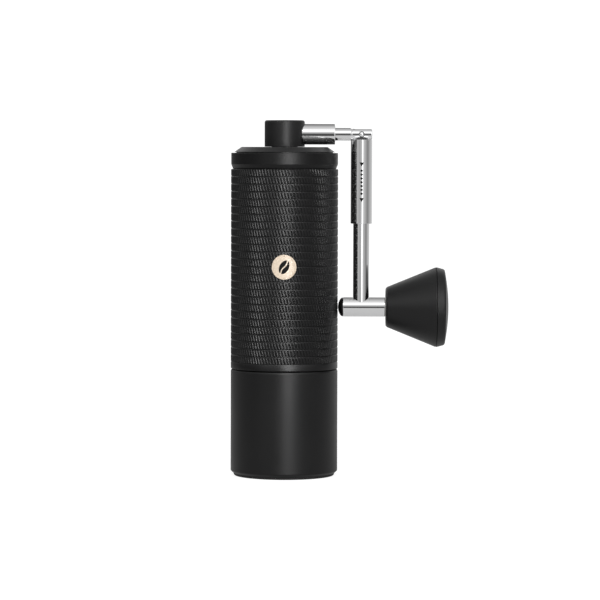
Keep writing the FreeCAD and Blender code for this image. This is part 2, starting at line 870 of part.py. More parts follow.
# ---------------------------------------------------------------------------
# Crank hub and stub
# ---------------------------------------------------------------------------

stub_seat = 7.9
tenon_radius = 2.6


def make_hub():
    """Crank hub: solid drum above, spindle below with a groove for its circlip."""
    clip_low = spindle_bottom + 0.65
    clip_floor = spindle_radius - 0.5
    ceiling = socket_top + 0.1
    outline = [
        (socket_radius + seat_gap, spindle_bottom),
        (spindle_radius, spindle_bottom),
        (spindle_radius, clip_low),
        (clip_floor, clip_low),
        (clip_floor, clip_low + 0.9),
        (spindle_radius, clip_low + 0.9),
        (spindle_radius, hub_base),
        (hub_radius, hub_base),
        (hub_radius, hub_top - 0.95),
        (hub_radius - 0.95, hub_top),
        (0, hub_top),
        (0, ceiling),
        (socket_radius + seat_gap, ceiling),
    ]
    body = turned("crank_hub", outline)
    shoulder = circle_sketch(body, "stub_shoulder_circle", "YZ_Plane", (0, stub_height),
                             stub_radius + seat_gap, Placement(Vector(0, 0, stub_seat), Rotation()))
    pocket(body, "stub_shoulder_bore", shoulder, hub_radius, reverse=True)
    tenon = circle_sketch(body, "stub_tenon_circle", "YZ_Plane", (0, stub_height), tenon_radius + seat_gap,
                          Placement(Vector(0, 0, socket_radius.value + 0.4), Rotation()))
    pocket(body, "stub_tenon_bore", tenon, hub_radius, reverse=True)
    keep(body)


def make_socket():
    """Steel insert with the pentagon bore that drives the shaft."""
    body = turned("drive_socket", [
        (0, spindle_bottom), (socket_radius, spindle_bottom), (socket_radius, socket_top), (0, socket_top)])
    circumradius = (drive_inscribed.value + 0.06) / math.cos(math.radians(36))
    corners = []
    for index in range(5):
        angle = math.radians(36 + 72 * index)
        corners.append((circumradius * math.cos(angle), circumradius * math.sin(angle)))
    bore = polygon_sketch(body, "pentagon", "XY_Plane", corners)
    pocket(body, "pentagon_bore", bore)
    keep(body)


def make_lid_retainers():
    """Washer under the lid's boss and the circlip that holds the crank to the lid."""
    clip_low = spindle_bottom + 0.7
    keep(ring("lid_washer", spindle_radius + 0.03, 8.4, clip_low + 0.9, boss_bottom - 0.12))
    body = ring("hub_circlip", spindle_radius - 0.45, 7.6, clip_low, clip_low + 0.8)
    opening = polygon_sketch(body, "hub_circlip_gap", "XY_Plane",
                             [(1.0, -1.8), (10.0, -1.8), (10.0, 1.8), (1.0, 1.8)])
    pocket(body, "hub_circlip_cut", opening)
    keep(body)


def make_stub():
    """Steel stub: shouldered rod that ends in a slotted knuckle."""
    body = new_body("crank_stub")
    bind(body, "Placement.Base.z", stub_height)
    tenon_start = socket_radius + 0.5
    outline = [
        (tenon_start, 0),
        (tenon_start, tenon_radius),
        (stub_seat + 0.05, tenon_radius),
        (stub_seat + 0.05, stub_radius),
        (stub_shoulder - 0.25, stub_radius),
        (stub_shoulder, stub_radius - 0.25),
        (stub_shoulder, stub_neck_radius),
        (knuckle_start, stub_neck_radius),
        (knuckle_start + knuckle_taper, knuckle_radius),
        (knuckle_end - 0.3, knuckle_radius),
        (knuckle_end, knuckle_radius - 0.3),
        (knuckle_end, 0),
    ]
    revolve(body, "stub_turned", outline, "H_Axis")
    half = fork_slot / 2
    slot = polygon_sketch(body, "fork_slot_outline", "XY_Plane", [
        (pivot_reach - 2.6, -half), (knuckle_end + 2, -half), (knuckle_end + 2, half),
        (pivot_reach - 2.6, half)])
    pocket(body, "fork_slot", slot)
    pin = circle_sketch(body, "hinge_hole_circle", "XZ_Plane", (pivot_reach, 0), pin_radius + seat_gap)
    pocket(body, "hinge_hole", pin)
    keep(body)


def make_hinge_pin():
    """Rivet-like pin with slightly domed ends, flush with the knuckle's cheeks."""
    length = 2 * math.sqrt(knuckle_radius.value ** 2 - pin_radius.value ** 2) + 0.5
    pin = document.addObject("Part::Cylinder", "hinge_pin_rod")
    bind(pin, "Radius", pin_radius)
    pin.Height = length
    spot = Vector(pivot_reach.value, length / 2, stub_height.value)
    pin.Placement = Placement(spot, Rotation(Vector(1, 0, 0), 90))
    dome = document.addObject("Part::Sphere", "hinge_pin_dome")
    dome.Radius = length / 2 + 0.02
    dome.Placement = Placement(Vector(pivot_reach.value, 0, stub_height.value), Rotation())
    body = document.addObject("Part::MultiCommon", "hinge_pin_shape")
    body.Shapes = [pin, dome]
    keep(body, "hinge_pin")


# ---------------------------------------------------------------------------
# Folding arm, lock sleeve and knob
# ---------------------------------------------------------------------------

def make_arm():
    """Round rod with a flat tongue at its hinged end, in its own frame at the pivot."""
    body = new_body("arm_rod")
    bind(body, "Placement.Base.x", pivot_reach)
    bind(body, "Placement.Base.z", stub_height)
    axis_drop = stub_height - knob_height
    foot = axis_drop - tube_radius + 2.2
    outline = [
        (0, -foot),
        (arm_radius, -foot),
        (arm_radius, -arm_neck_end - 0.4),
        (arm_radius - 0.4, -arm_neck_end),
        (arm_neck_radius, -arm_neck_end),
        (arm_neck_radius, -arm_neck_start),
        (0, -arm_neck_start),
    ]
    revolve(body, "arm_rod_turned", outline)
    half = fork_slot / 2 - running_gap
    tongue = new_sketch(body, "tongue_outline", "XZ_Plane")
    reach = knuckle_radius.value - 0.25
    low = -(arm_neck_start.value + 1.0)
    lines = [((-reach, 0), (-reach, low)), ((-reach, low), (reach, low)), ((reach, low), (reach, 0))]
    for start, end in lines:
        tongue.addGeometry(Part.LineSegment(Vector(*start, 0), Vector(*end, 0)), False)
    tongue.addGeometry(Part.ArcOfCircle(Part.Circle(Vector(), Vector(0, 0, 1), reach), 0, math.pi), False)
    for first, first_end, second, second_end in ((0, 2, 1, 1), (1, 2, 2, 1), (2, 2, 3, 1), (3, 2, 0, 1)):
        tongue.addConstraint(Sketcher.Constraint("Coincident", first, first_end, second, second_end))
    pad = body.newObject("PartDesign::Pad", "tongue")
    pad.Profile = tongue
    pad.SideType = "Symmetric"
    bind(pad, "Length", half * 2)
    document.recompute()
    eye = circle_sketch(body, "eye_circle", "XZ_Plane", (0, 0), pin_radius + running_gap)
    pocket(body, "eye", eye)
    saddle = circle_sketch(body, "saddle_circle", "YZ_Plane", (0, -axis_drop), tube_radius + 0.01)
    pocket(body, "tube_saddle", saddle)
    keep(body)


def make_sleeve():
    """Lock sleeve: a spring presses its flat, bevelled top up under the knuckle."""
    throat = arm_neck_radius + 0.06
    annulus = arm_radius + 0.07
    outline = [
        (throat, sleeve_top),
        (throat, sleeve_top - sleeve_land),
        (annulus, sleeve_top - sleeve_land - 0.3),
        (annulus, sleeve_bottom),
        (sleeve_radius - 0.2, sleeve_bottom),
        (sleeve_radius, sleeve_bottom + 0.2),
        (sleeve_radius, sleeve_top - sleeve_bevel),
        (sleeve_radius - sleeve_bevel, sleeve_top),
    ]
    body = turned("lock_sleeve", outline)
    bind(body, "Placement.Base.x", pivot_reach)
    for index, depth in enumerate((14.7, 31.9)):
        tip = stub_height - depth - 1.1
        arrow = polygon_sketch(body, f"arrow_outline_{index}", "XZ_Plane",
                               [(0, tip), (1.0, tip + 2.0), (-1.0, tip + 2.0)],
                               front_offset(sleeve_radius - 0.2))
        pocket(body, f"arrow_{index}", arrow, size_of(2.0), reverse=True)
    keep(body)


def along_x(name, outline):
    """A piece turned about the knob's axis; its outline holds (x, radius) pairs."""
    body = new_body(name)
    bind(body, "Placement.Base.z", knob_height)
    revolve(body, f"{name}_turned", outline, "H_Axis")
    return body


def make_cross_tube():
    """Tube across the arm's foot, with a rubber bumper plugged into its inner end."""
    plug_bore = 2.97
    axle_bore = 2.42
    plug_end = tube_start + 3.8
    keep(along_x("cross_tube", [
        (tube_start, plug_bore), (tube_start, tube_radius - 0.25), (tube_start + 0.25, tube_radius),
        (tube_end - 0.2, tube_radius), (tube_end, tube_radius - 0.2), (tube_end, axle_bore),
        (plug_end, axle_bore), (plug_end, plug_bore)]))
    rim = tube_radius - 0.1
    dome = []
    for degrees in (0, 15, 30, 45, 60, 75):
        angle = math.radians(degrees)
        dome.append((tube_start - 0.1 - bumper_bulge * math.sin(angle), rim * math.cos(angle)))
    keep(along_x("arm_bumper", dome + [
        (tube_start - 0.1 - bumper_bulge, 0), (plug_end - 0.2, 0), (plug_end - 0.2, plug_bore - seat_gap),
        (tube_start, plug_bore - seat_gap), (tube_start, rim)]))


def make_knob():
    """Conical grip on two flanged bushes, closed by a domed cap over the axle's head."""
    bush_outer = 4.6
    bush_bore = axle_radius + running_gap
    recess = knob_recess
    head_start = axle_head_start
    outer_bush_start = head_start - 8.1
    keep(along_x("knob_body", [
        (knob_start, 4.9),
        (knob_start, knob_small_radius - 0.5),
        (knob_start + 0.5, knob_small_radius),
        (knob_seam - 0.15, knob_large_radius - 0.06),
        (knob_seam - 0.05, knob_large_radius - 0.3),
        (knob_seam - 0.05, recess),
        (knob_seam - 2.4, recess),
        (knob_seam - 2.4, 7.0),
        (head_start - 1.1, 7.0),
        (head_start - 1.1, bush_outer),
        (knob_start + 0.65, bush_outer),
        (knob_start + 0.65, 4.9)]))
    rim_round = 1.0
    cap = [(knob_seam, recess - seat_gap), (knob_seam, knob_large_radius - 0.25),
           (knob_seam + 0.2, knob_large_radius - 0.02),
           (knob_rim - rim_round, knob_rim_radius + 0.4)]
    for degrees in (20, 45, 70):
        angle = math.radians(degrees)
        cap.append((knob_rim - rim_round + rim_round * math.sin(angle),
                    knob_rim_radius - 0.6 + rim_round * math.cos(angle)))
    dome_rise = knob_end.value - knob_rim.value
    dome_edge = knob_rim_radius.value - 0.6
    for fraction in (1.0, 0.85, 0.65, 0.4, 0.2):
        cap.append((knob_rim.value + dome_rise * (1 - fraction ** 2), dome_edge * fraction))
    cap += [(knob_end, 0), (knob_seam + 0.6, 0), (knob_seam + 0.6, recess - 2.2),
            (knob_seam - 2.3, recess - 2.2), (knob_seam - 2.3, recess - seat_gap)]
    keep(along_x("knob_cap", cap))
    keep(along_x("knob_bush_inner", [
        (knob_start + 0.9, bush_bore), (knob_start + 0.9, bush_outer - seat_gap),
        (knob_start + 7.0, bush_outer - seat_gap), (knob_start + 7.0, bush_bore)]))
    keep(along_x("knob_bush_outer", [
        (outer_bush_start, bush_bore), (outer_bush_start, bush_outer - seat_gap),
        (head_start - 1.08, bush_outer - seat_gap),
        (head_start - 1.08, 6.4), (head_start - 0.2, 6.4), (head_start - 0.2, bush_bore)]))
    keep(along_x("axle_washer", [
        (tube_end + 0.05, axle_radius + 0.02), (tube_end + 0.05, 4.4), (knob_start + 0.6, 4.4),
        (knob_start + 0.6, axle_radius + 0.02)]))
    axle = along_x("knob_axle", [
        (tube_start + 6.0, 0), (tube_start + 6.0, 2.0), (tube_start + 6.4, 2.4), (tube_end, 2.4),
        (tube_end, axle_radius), (head_start, axle_radius), (head_start, 5.0),
        (head_start + 2.2, 5.0), (head_start + 2.4, 4.8), (head_start + 2.4, 0)])
    across = 1.5
    key = []
    for index in range(6):
        angle = math.radians(60 * index)
        key.append((across * math.cos(angle), across * math.sin(angle)))
    hexagon = polygon_sketch(axle, "axle_key_outline", "YZ_Plane", key,
                             Placement(Vector(0, 0, head_start.value + 2.6), Rotation()))
    pocket(axle, "axle_key", hexagon, size_of(1.8))
    keep(axle)


# ---------------------------------------------------------------------------
# Build, check and write
# ---------------------------------------------------------------------------

def make_springs():
    """The cone's lift spring above the burr, and the sleeve's spring round the arm's neck."""
    burr_low = cone_top.value + 0.1
    burr_high = lower_bearing_base.value - 0.1
    keep(coil("burr_spring_wire", 0.45, 5.3, burr_low, burr_high, 3), "burr_spring")
    sleeve_low = stub_height.value - arm_neck_end.value + 0.1
    sleeve_high = sleeve_top.value - sleeve_land.value - 0.35
    keep(coil("sleeve_spring_wire", 0.32, 3.52, sleeve_low, sleeve_high, 7,
              Vector(pivot_reach.value, 0, 0)), "sleeve_spring")


def check(item):
    """Stop if a sub-part failed, is empty or is not valid."""
    if any(state in ("Invalid", "Error") for state in item.State):
        raise RuntimeError(f"{item.Label} failed: {item.State}")
    shape = item.Shape
    if shape.isNull() or not shape.isValid() or not shape.Solids:
        raise RuntimeError(f"{item.Label} has no valid solid")


make_cup()
make_foot_pad()
make_outer_body()
make_badge()
make_collar()
make_liner()
make_carrier()
make_bracket("upper", upper_bearing_base, hopper_radius)
make_bracket("lower", lower_bearing_base, hopper_radius - 0.6)
make_bearing("upper", upper_bearing_base)
make_bearing("lower", lower_bearing_base)
make_clips()
make_shaft()
make_shaft_clip()
make_key()
make_cone_burr()
make_ring_burr()
make_burr_screws()
make_dial()
make_lid()
make_hub()
make_socket()
make_lid_retainers()
make_stub()
make_hinge_pin()
make_arm()
make_sleeve()
make_cross_tube()
make_knob()
make_springs()
document.recompute()

for member in document.Objects:
    if any(state in ("Invalid", "Error") for state in member.State):
        raise RuntimeError(f"{member.Label} failed: {member.State}")

os.makedirs("parts", exist_ok=True)
for name, item in sub_parts.items():
    check(item)
    item.Shape.exportStep(f"parts/{name}.step")
    solids = len(item.Shape.Solids)
    print(f"{name:22s} {solids:2d} solids {item.Shape.Volume:10.1f} mm3")
print(len(sub_parts), "sub-parts")
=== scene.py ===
import json
import math

import bmesh
import bpy
from mathutils import Matrix, Vector


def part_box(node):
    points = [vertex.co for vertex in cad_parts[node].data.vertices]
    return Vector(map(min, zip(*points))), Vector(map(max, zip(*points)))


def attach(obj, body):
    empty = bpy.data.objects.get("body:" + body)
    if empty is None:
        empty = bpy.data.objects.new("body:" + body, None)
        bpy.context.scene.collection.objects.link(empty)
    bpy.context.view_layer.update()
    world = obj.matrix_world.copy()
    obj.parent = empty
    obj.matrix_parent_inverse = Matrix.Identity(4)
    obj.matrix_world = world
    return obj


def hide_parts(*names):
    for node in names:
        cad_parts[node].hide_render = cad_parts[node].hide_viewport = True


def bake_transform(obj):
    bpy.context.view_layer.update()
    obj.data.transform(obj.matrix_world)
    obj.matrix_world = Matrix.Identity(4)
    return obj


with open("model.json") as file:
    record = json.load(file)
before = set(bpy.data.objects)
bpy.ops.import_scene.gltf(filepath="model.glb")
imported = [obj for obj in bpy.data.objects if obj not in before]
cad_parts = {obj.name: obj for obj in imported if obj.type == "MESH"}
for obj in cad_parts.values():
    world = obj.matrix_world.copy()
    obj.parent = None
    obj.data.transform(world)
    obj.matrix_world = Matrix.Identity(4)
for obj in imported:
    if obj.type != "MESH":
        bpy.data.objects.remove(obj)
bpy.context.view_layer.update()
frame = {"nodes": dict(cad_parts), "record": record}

# Looks for a one-hand coffee grinder. Lengths below are millimetres; MM turns them into the
# frame's metres.
MM = 0.001


# ---------------------------------------------------------------------------
# Sizes read from the frame
# ---------------------------------------------------------------------------

def node_box(node):
    """Lowest and highest corner of a CAD node, in millimetres."""
    low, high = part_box(node)
    return low / MM, high / MM


cup_high = node_box("catch_cup")[1]
foot_low, foot_high = node_box("foot_pad")
shell_low, shell_high = node_box("outer_body")
collar_low, collar_high = node_box("top_collar")
lid_low, lid_high = node_box("lid_cover")
hub_low, hub_high = node_box("crank_hub")
stub_low, stub_high = node_box("crank_stub")
pin_low, pin_high = node_box("hinge_pin")
sleeve_low, sleeve_high = node_box("lock_sleeve")
spring_low, spring_high = node_box("sleeve_spring")
arm_low, arm_high = node_box("arm_rod")
tube_low, tube_high = node_box("cross_tube")
bumper_low = node_box("arm_bumper")[0]
knob_low, knob_high = node_box("knob_body")
cap_high = node_box("knob_cap")[1]
badge_low, badge_high = node_box("body_badge")

BODY_RADIUS = shell_high.x
FOOT_RADIUS = foot_high.x
STUB_Z = (stub_low.z + stub_high.z) / 2
STUB_RADIUS = (stub_high.z - stub_low.z) / 2
PIVOT_X = (pin_low.x + pin_high.x) / 2
KNOB_Z = (tube_low.z + tube_high.z) / 2
BADGE_Z = (badge_low.z + badge_high.z) / 2
BADGE_RADIUS = (badge_high.x - badge_low.x) / 2
SLEEVE_RADIUS = (sleeve_high.x - sleeve_low.x) / 2
ARM_RADIUS = (arm_high.y - arm_low.y) / 2
TUBE_RADIUS = (tube_high.z - tube_low.z) / 2


# ---------------------------------------------------------------------------
# Mesh helpers
# ---------------------------------------------------------------------------

ROUND_STEPS = 5
# A rounding takes at most this share of the straight on either side of it.
SIDE_SHARE = 0.49
# Faces that meet at a steeper angle than this keep a sharp edge.
SHARP_DEGREES = 32
# A ring narrower than this is a single point on the axis.
ON_AXIS = 1e-6


def support_gap(radius, side):
    """How far from a rounding its support point sits, on a straight of a given length."""
    return min(0.25 * radius, 0.02 * side + 0.01)


def arc_corner(before, here, after, rounding):
    """The points that replace one corner: an arc, and a support point on each side of it."""
    side_before = (before - here).length
    side_after = (after - here).length
    to_before = (before - here).normalized()
    to_after = (after - here).normalized()
    half = to_before.angle(to_after) / 2
    reach = min(rounding / math.tan(half), SIDE_SHARE * side_before, SIDE_SHARE * side_after)
    radius = reach * math.tan(half)
    middle = here + (to_before + to_after).normalized() * radius / math.sin(half)
    start = here + to_before * reach
    end = here + to_after * reach
    first = start - middle
    last = end - middle
    sweep = math.atan2(first.x * last.y - first.y * last.x, first.dot(last))
    points = [start + to_before * support_gap(radius, side_before)]
    for step in range(ROUND_STEPS + 1):
        points.append(middle + Matrix.Rotation(sweep * step / ROUND_STEPS, 2) @ first)
    points.append(end + to_after * support_gap(radius, side_after))
    return points


def rounded(outline, closed):
    """An outline's points, with each corner that has a rounding replaced by an arc.

    A corner is (distance from the axis, height) or (distance, height, rounding).
    """
    points = []
    count = len(outline)
    for index, corner in enumerate(outline):
        here = Vector(corner[:2])
        at_end = not closed and index in (0, count - 1)
        if len(corner) < 3 or at_end:
            points.append(here)
            continue
        before = Vector(outline[index - 1][:2])
        after = Vector(outline[(index + 1) % count][:2])
        points += arc_corner(before, here, after, corner[2])
    return points


def new_object(name, mesh):
    piece = bpy.data.objects.new(name, mesh)
    bpy.context.scene.collection.objects.link(piece)
    return piece


def mark_sharp(work, sharp_degrees):
    limit = math.radians(sharp_degrees)
    for face in work.faces:
        face.smooth = True
    for edge in work.edges:
        edge.smooth = not (len(edge.link_faces) == 2 and edge.calc_face_angle(0) > limit)


def finish_mesh(name, work, sharp_degrees=SHARP_DEGREES):
    """Turn a bmesh into an object with outward normals and sharp edges kept sharp."""
    bmesh.ops.recalc_face_normals(work, faces=work.faces)
    mark_sharp(work, sharp_degrees)
    mesh = bpy.data.meshes.new(name)
    work.to_mesh(mesh)
    work.free()
    return new_object(name, mesh)


def bridge(work, first, second, segments):
    """Faces between two rings, either of which may be a single point on the axis."""
    if len(first) == 1 and len(second) == 1:
        return
    for index in range(segments):
        following = (index + 1) % segments
        if len(first) == 1:
            work.faces.new((first[0], second[index], second[following]))
        elif len(second) == 1:
            work.faces.new((first[index], first[following], second[0]))
        else:
            work.faces.new((first[index], first[following], second[following], second[index]))


def bridge_all(work, rings, segments, closed=False):
    """Faces from each ring to the next, and from the last back to the first when closed."""
    following = rings[1:] + rings[:1] if closed else rings[1:]
    for first, second in zip(rings, following):
        bridge(work, first, second, segments)


def lathe(name, outline, axis="Z", centre=(0, 0, 0), segments=128):
    """Revolve an outline about Z or X. Heights of an X outline are X positions."""
    closed = min(corner[0] for corner in outline) > ON_AXIS
    work = bmesh.new()
    rings = []
    for radius, height in rounded(outline, closed):
        ring = []
        for index in range(1 if radius < ON_AXIS else segments):
            angle = 2 * math.pi * index / segments
            side = (radius * math.cos(angle), radius * math.sin(angle))
            spot = (*side, height) if axis == "Z" else (height, *side)
            ring.append(work.verts.new((Vector(spot) + Vector(centre)) * MM))
        rings.append(ring)
    bridge_all(work, rings, segments, closed)
    return finish_mesh(name, work)


def rod_cutter(name, radius, low, high, centre=(0, 0, 0), segments=48):
    """A plain rod along X to cut with."""
    return lathe(name, [(0, low), (radius, low), (radius, high), (0, high)], "X", centre, segments)


def block_cutter(name, low, high):
    """A rectangular block to cut with."""
    work = bmesh.new()
    bmesh.ops.create_cube(work, size=1)
    for vertex in work.verts:
        share = vertex.co + Vector((0.5, 0.5, 0.5))
        vertex.co = Vector([low[i] + (high[i] - low[i]) * share[i] for i in range(3)]) * MM
    return finish_mesh(name, work)


def carve(piece, cutter):
    """Cut one mesh out of another, and keep only the result."""
    cut = piece.modifiers.new("carve", "BOOLEAN")
    cut.operation = "DIFFERENCE"
    cut.solver = "EXACT"
    cut.object = cutter
    bpy.context.view_layer.update()
    graph = bpy.context.evaluated_depsgraph_get()
    mesh = bpy.data.meshes.new_from_object(piece.evaluated_get(graph))
    piece.modifiers.remove(cut)
    piece.data = mesh
    bpy.data.objects.remove(cutter)
    work = bmesh.new()
    work.from_mesh(mesh)
    mark_sharp(work, SHARP_DEGREES)
    work.to_mesh(mesh)
    work.free()


def fit(piece, body, material, slot_name, *nodes):
    """Put a finished piece on its body, in place of its CAD nodes."""
    piece.data.materials.clear()
    piece.data.materials.append(material)
    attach(piece, body)
    if nodes:
        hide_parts(*nodes)


# ---------------------------------------------------------------------------
# Materials
# ---------------------------------------------------------------------------

# Most noise values lie between these two.
NOISE_LOW = 0.3
NOISE_HIGH = 0.7
PATCH_SCALE = 60.0
# How much of the change of colour follows the fine grain, and how much the broad patches.
GRAIN_SHARE = 0.45
PATCH_SHARE = 0.55
COAT_ROUGHNESS = 0.1


def noise(tree, coordinates, scale, detail, stretch=(1, 1, 1)):
    """A noise texture in object space; stretch squeezes it along chosen axes."""
    mapping = tree.nodes.new("ShaderNodeMapping")
    mapping.inputs["Scale"].default_value = stretch
    texture = tree.nodes.new("ShaderNodeTexNoise")
    texture.inputs["Scale"].default_value = scale
    texture.inputs["Detail"].default_value = detail
    tree.links.new(coordinates.outputs["Object"], mapping.inputs["Vector"])
    tree.links.new(mapping.outputs["Vector"], texture.inputs["Vector"])
    return texture.outputs["Fac"]


def remap(tree, value, low, high):
    """Spread a noise value over a new range."""
    node = tree.nodes.new("ShaderNodeMapRange")
    node.inputs["From Min"].default_value = NOISE_LOW
    node.inputs["From Max"].default_value = NOISE_HIGH
    node.inputs["To Min"].default_value = low
    node.inputs["To Max"].default_value = high
    tree.links.new(value, node.inputs["Value"])
    return node.outputs["Result"]


def surface(name, dark, light, rough, metallic=0.0, grain=900.0, stretch=(1, 1, 1), bump=0.1,
            depth_mm=0.02, specular=0.5, coat=0.0):
    """A procedural finish: patchy colour, varied roughness and a fine grain in relief."""
    material = bpy.data.materials.new(name)
    material.use_nodes = True
    tree = material.node_tree
    shader = tree.nodes["Principled BSDF"]
    shader.inputs["Metallic"].default_value = metallic
    shader.inputs["Specular IOR Level"].default_value = specular
    shader.inputs["Coat Weight"].default_value = coat
    shader.inputs["Coat Roughness"].default_value = COAT_ROUGHNESS
    coordinates = tree.nodes.new("ShaderNodeTexCoord")

    broad = noise(tree, coordinates, PATCH_SCALE, 4.0)
    fine = noise(tree, coordinates, grain, 2.0, stretch)
    blend = tree.nodes.new("ShaderNodeMath")
    blend.operation = "MULTIPLY_ADD"
    blend.inputs[1].default_value = GRAIN_SHARE
    tree.links.new(remap(tree, fine, 0.0, 1.0), blend.inputs[0])
    tree.links.new(remap(tree, broad, 0.0, PATCH_SHARE), blend.inputs[2])
    colour = tree.nodes.new("ShaderNodeMix")
    colour.data_type = "RGBA"
    colour.inputs["A"].default_value = (*dark, 1)
    colour.inputs["B"].default_value = (*light, 1)
    tree.links.new(blend.outputs[0], colour.inputs["Factor"])
    tree.links.new(colour.outputs["Result"], shader.inputs["Base Color"])

    tree.links.new(remap(tree, broad, *rough), shader.inputs["Roughness"])
    relief = tree.nodes.new("ShaderNodeBump")
    relief.inputs["Strength"].default_value = bump
    relief.inputs["Distance"].default_value = depth_mm * MM
    tree.links.new(fine, relief.inputs["Height"])
    tree.links.new(relief.outputs["Normal"], shader.inputs["Normal"])
    return material


ANODISED = surface("black_anodised", (0.0018, 0.0018, 0.002), (0.0038, 0.0038, 0.004), (0.4, 0.45),
                   grain=2600, specular=0.31)
GRIP_ANODISED = surface("grip_anodised", (0.0012, 0.0012, 0.0014), (0.003, 0.003, 0.0032),
                        (0.35, 0.41), grain=2600, bump=0.08, specular=0.34)
COLLAR_ANODISED = surface("collar_anodised", (0.0015, 0.0015, 0.0017), (0.003, 0.003, 0.0032),
                          (0.4, 0.45), grain=2600, specular=0.28)
LID_ANODISED = surface("lid_anodised", (0.003, 0.003, 0.0032), (0.005, 0.005, 0.0052), (0.4, 0.46),
                       grain=2400, stretch=(1, 1, 0.2), specular=0.48)
HUB_BLACK = surface("hub_black", (0.005, 0.005, 0.0052), (0.009, 0.009, 0.0092), (0.46, 0.52),
                    grain=2600, specular=0.34)
KNOB_BLACK = surface("knob_black", (0.003, 0.003, 0.0032), (0.006, 0.006, 0.0062), (0.38, 0.45),
                     grain=3000, bump=0.14, specular=0.34)
RUBBER = surface("foot_rubber", (0.012, 0.012, 0.012), (0.02, 0.02, 0.02), (0.6, 0.75),
                 grain=1500, bump=0.3, depth_mm=0.03, specular=0.25)
BUMPER_RUBBER = surface("bumper_rubber", (0.002, 0.002, 0.002), (0.005, 0.005, 0.005), (0.2, 0.28),
                        grain=1500, bump=0.08)
BLACK_PLASTIC = surface("black_plastic", (0.014, 0.014, 0.015), (0.022, 0.022, 0.023), (0.45, 0.55),
                        grain=1800, bump=0.2)
# The steel reflects like a mirror. Its faint grain runs round the piece, as turning leaves it.
STEEL = surface("polished_steel", (0.86, 0.86, 0.865), (0.9, 0.9, 0.905), (0.001, 0.0035),
                metallic=1.0, grain=2600, stretch=(0.2, 0.2, 3), bump=0.02, depth_mm=0.002)
STEEL_ALONG_X = surface("polished_steel_x", (0.86, 0.86, 0.865), (0.9, 0.9, 0.905), (0.001, 0.0035),
                        metallic=1.0, grain=2600, stretch=(3, 0.2, 0.2), bump=0.02, depth_mm=0.002)
SHAFT_STEEL = surface("turned_steel", (0.5, 0.5, 0.51), (0.62, 0.62, 0.63), (0.2, 0.3),
                      metallic=1.0, grain=1500, stretch=(0.2, 0.2, 4), bump=0.15)
BURR_STEEL = surface("burr_steel", (0.36, 0.36, 0.365), (0.5, 0.5, 0.505), (0.25, 0.38),
                     metallic=1.0, grain=900, bump=0.25, depth_mm=0.03)
BEARING_STEEL = surface("bearing_steel", (0.6, 0.6, 0.61), (0.72, 0.72, 0.73), (0.08, 0.14),
                        metallic=1.0, grain=1800, bump=0.05, depth_mm=0.01)
SPRING_STEEL = surface("spring_steel", (0.38, 0.38, 0.39), (0.5, 0.5, 0.51), (0.2, 0.3),
                       metallic=1.0, grain=2000, depth_mm=0.01)
ALUMINIUM = surface("raw_aluminium", (0.62, 0.62, 0.63), (0.74, 0.74, 0.75), (0.28, 0.4),
                    metallic=1.0, grain=1100, stretch=(0.3, 0.3, 3), bump=0.2)
BRASS = surface("cage_brass", (0.6, 0.44, 0.17), (0.74, 0.56, 0.25), (0.22, 0.32),
                metallic=1.0, grain=1500, depth_mm=0.01)
SILICONE = surface("silicone", (0.42, 0.42, 0.41), (0.52, 0.52, 0.51), (0.45, 0.6),
                   grain=1200, bump=0.15)
ACETAL = surface("bush_plastic", (0.68, 0.67, 0.64), (0.78, 0.77, 0.74), (0.35, 0.45), grain=1400)
ENAMEL = surface("badge_enamel", (0.74, 0.61, 0.47), (0.8, 0.67, 0.53), (0.32, 0.4),
                 grain=1800, depth_mm=0.01, coat=0.1)
MARK_INK = surface("mark_ink", (0.012, 0.012, 0.012), (0.02, 0.02, 0.02), (0.8, 0.9),
                   grain=2500, specular=0.02)


# ---------------------------------------------------------------------------
# Cup, foot and collar
# ---------------------------------------------------------------------------

# The foot's outer rim reaches up to this height, and its plug goes on into the cup.
FOOT_STEP_Z = foot_low.z + 1.2
FOOT_PLUG_RADIUS = 21.0


def make_cup():
    """Smooth cup with a chamfered lip and three thread crests inside its mouth."""
    bore = 23.6
    floor = 3.6
    pocket = FOOT_PLUG_RADIUS + 0.05
    pocket_top = foot_high.z + 0.02
    lip = 0.8
    outline = [
        (0, pocket_top),
        (pocket, pocket_top),
        (pocket, FOOT_STEP_Z, 0.1),
        (FOOT_RADIUS + 0.2, FOOT_STEP_Z, 0.25),
        (BODY_RADIUS, FOOT_STEP_Z + 1.2, 0.7),
        (BODY_RADIUS, cup_high.z - lip, 0.1),
        (BODY_RADIUS - 0.3, cup_high.z - 0.1, 0.08),
        (BODY_RADIUS - lip, cup_high.z, 0.1),
        (bore, cup_high.z, 0.2),
    ]
    crest = bore - 0.45
    thread_pitch = 2.0
    thread_start = cup_high.z - 7.6
    for index in reversed(range(3)):
        base = thread_start + thread_pitch * index
        outline += [(bore, base + 1.7), (crest, base + 1.0, 0.08),
                    (crest, base + 0.7, 0.08), (bore, base)]
    outline += [(bore, floor, 3.0), (0, floor)]
    cup = lathe("cup_shell", outline, segments=224)
    fit(cup, "cup", ANODISED, "black_anodised", "catch_cup")


def make_foot():
    """Rubber pad with a shallow dish in its underside and a plug on top."""
    dish = 8.0
    dish_depth = 0.5
    outline = [
        (0, dish_depth),
        (dish, dish_depth, 0.15),
        (dish + 0.4, 0, 0.15),
        (FOOT_RADIUS - 0.45, 0, 0.5),
        (FOOT_RADIUS, 0.6, 0.3),
        (FOOT_RADIUS, FOOT_STEP_Z, 0.1),
        (FOOT_PLUG_RADIUS, FOOT_STEP_Z, 0.1),
        (FOOT_PLUG_RADIUS, foot_high.z, 0.1),
        (0, foot_high.z),
    ]
    foot = lathe("foot_ring", outline, segments=192)
    fit(foot, "cup", RUBBER, "foot_rubber", "foot_pad")


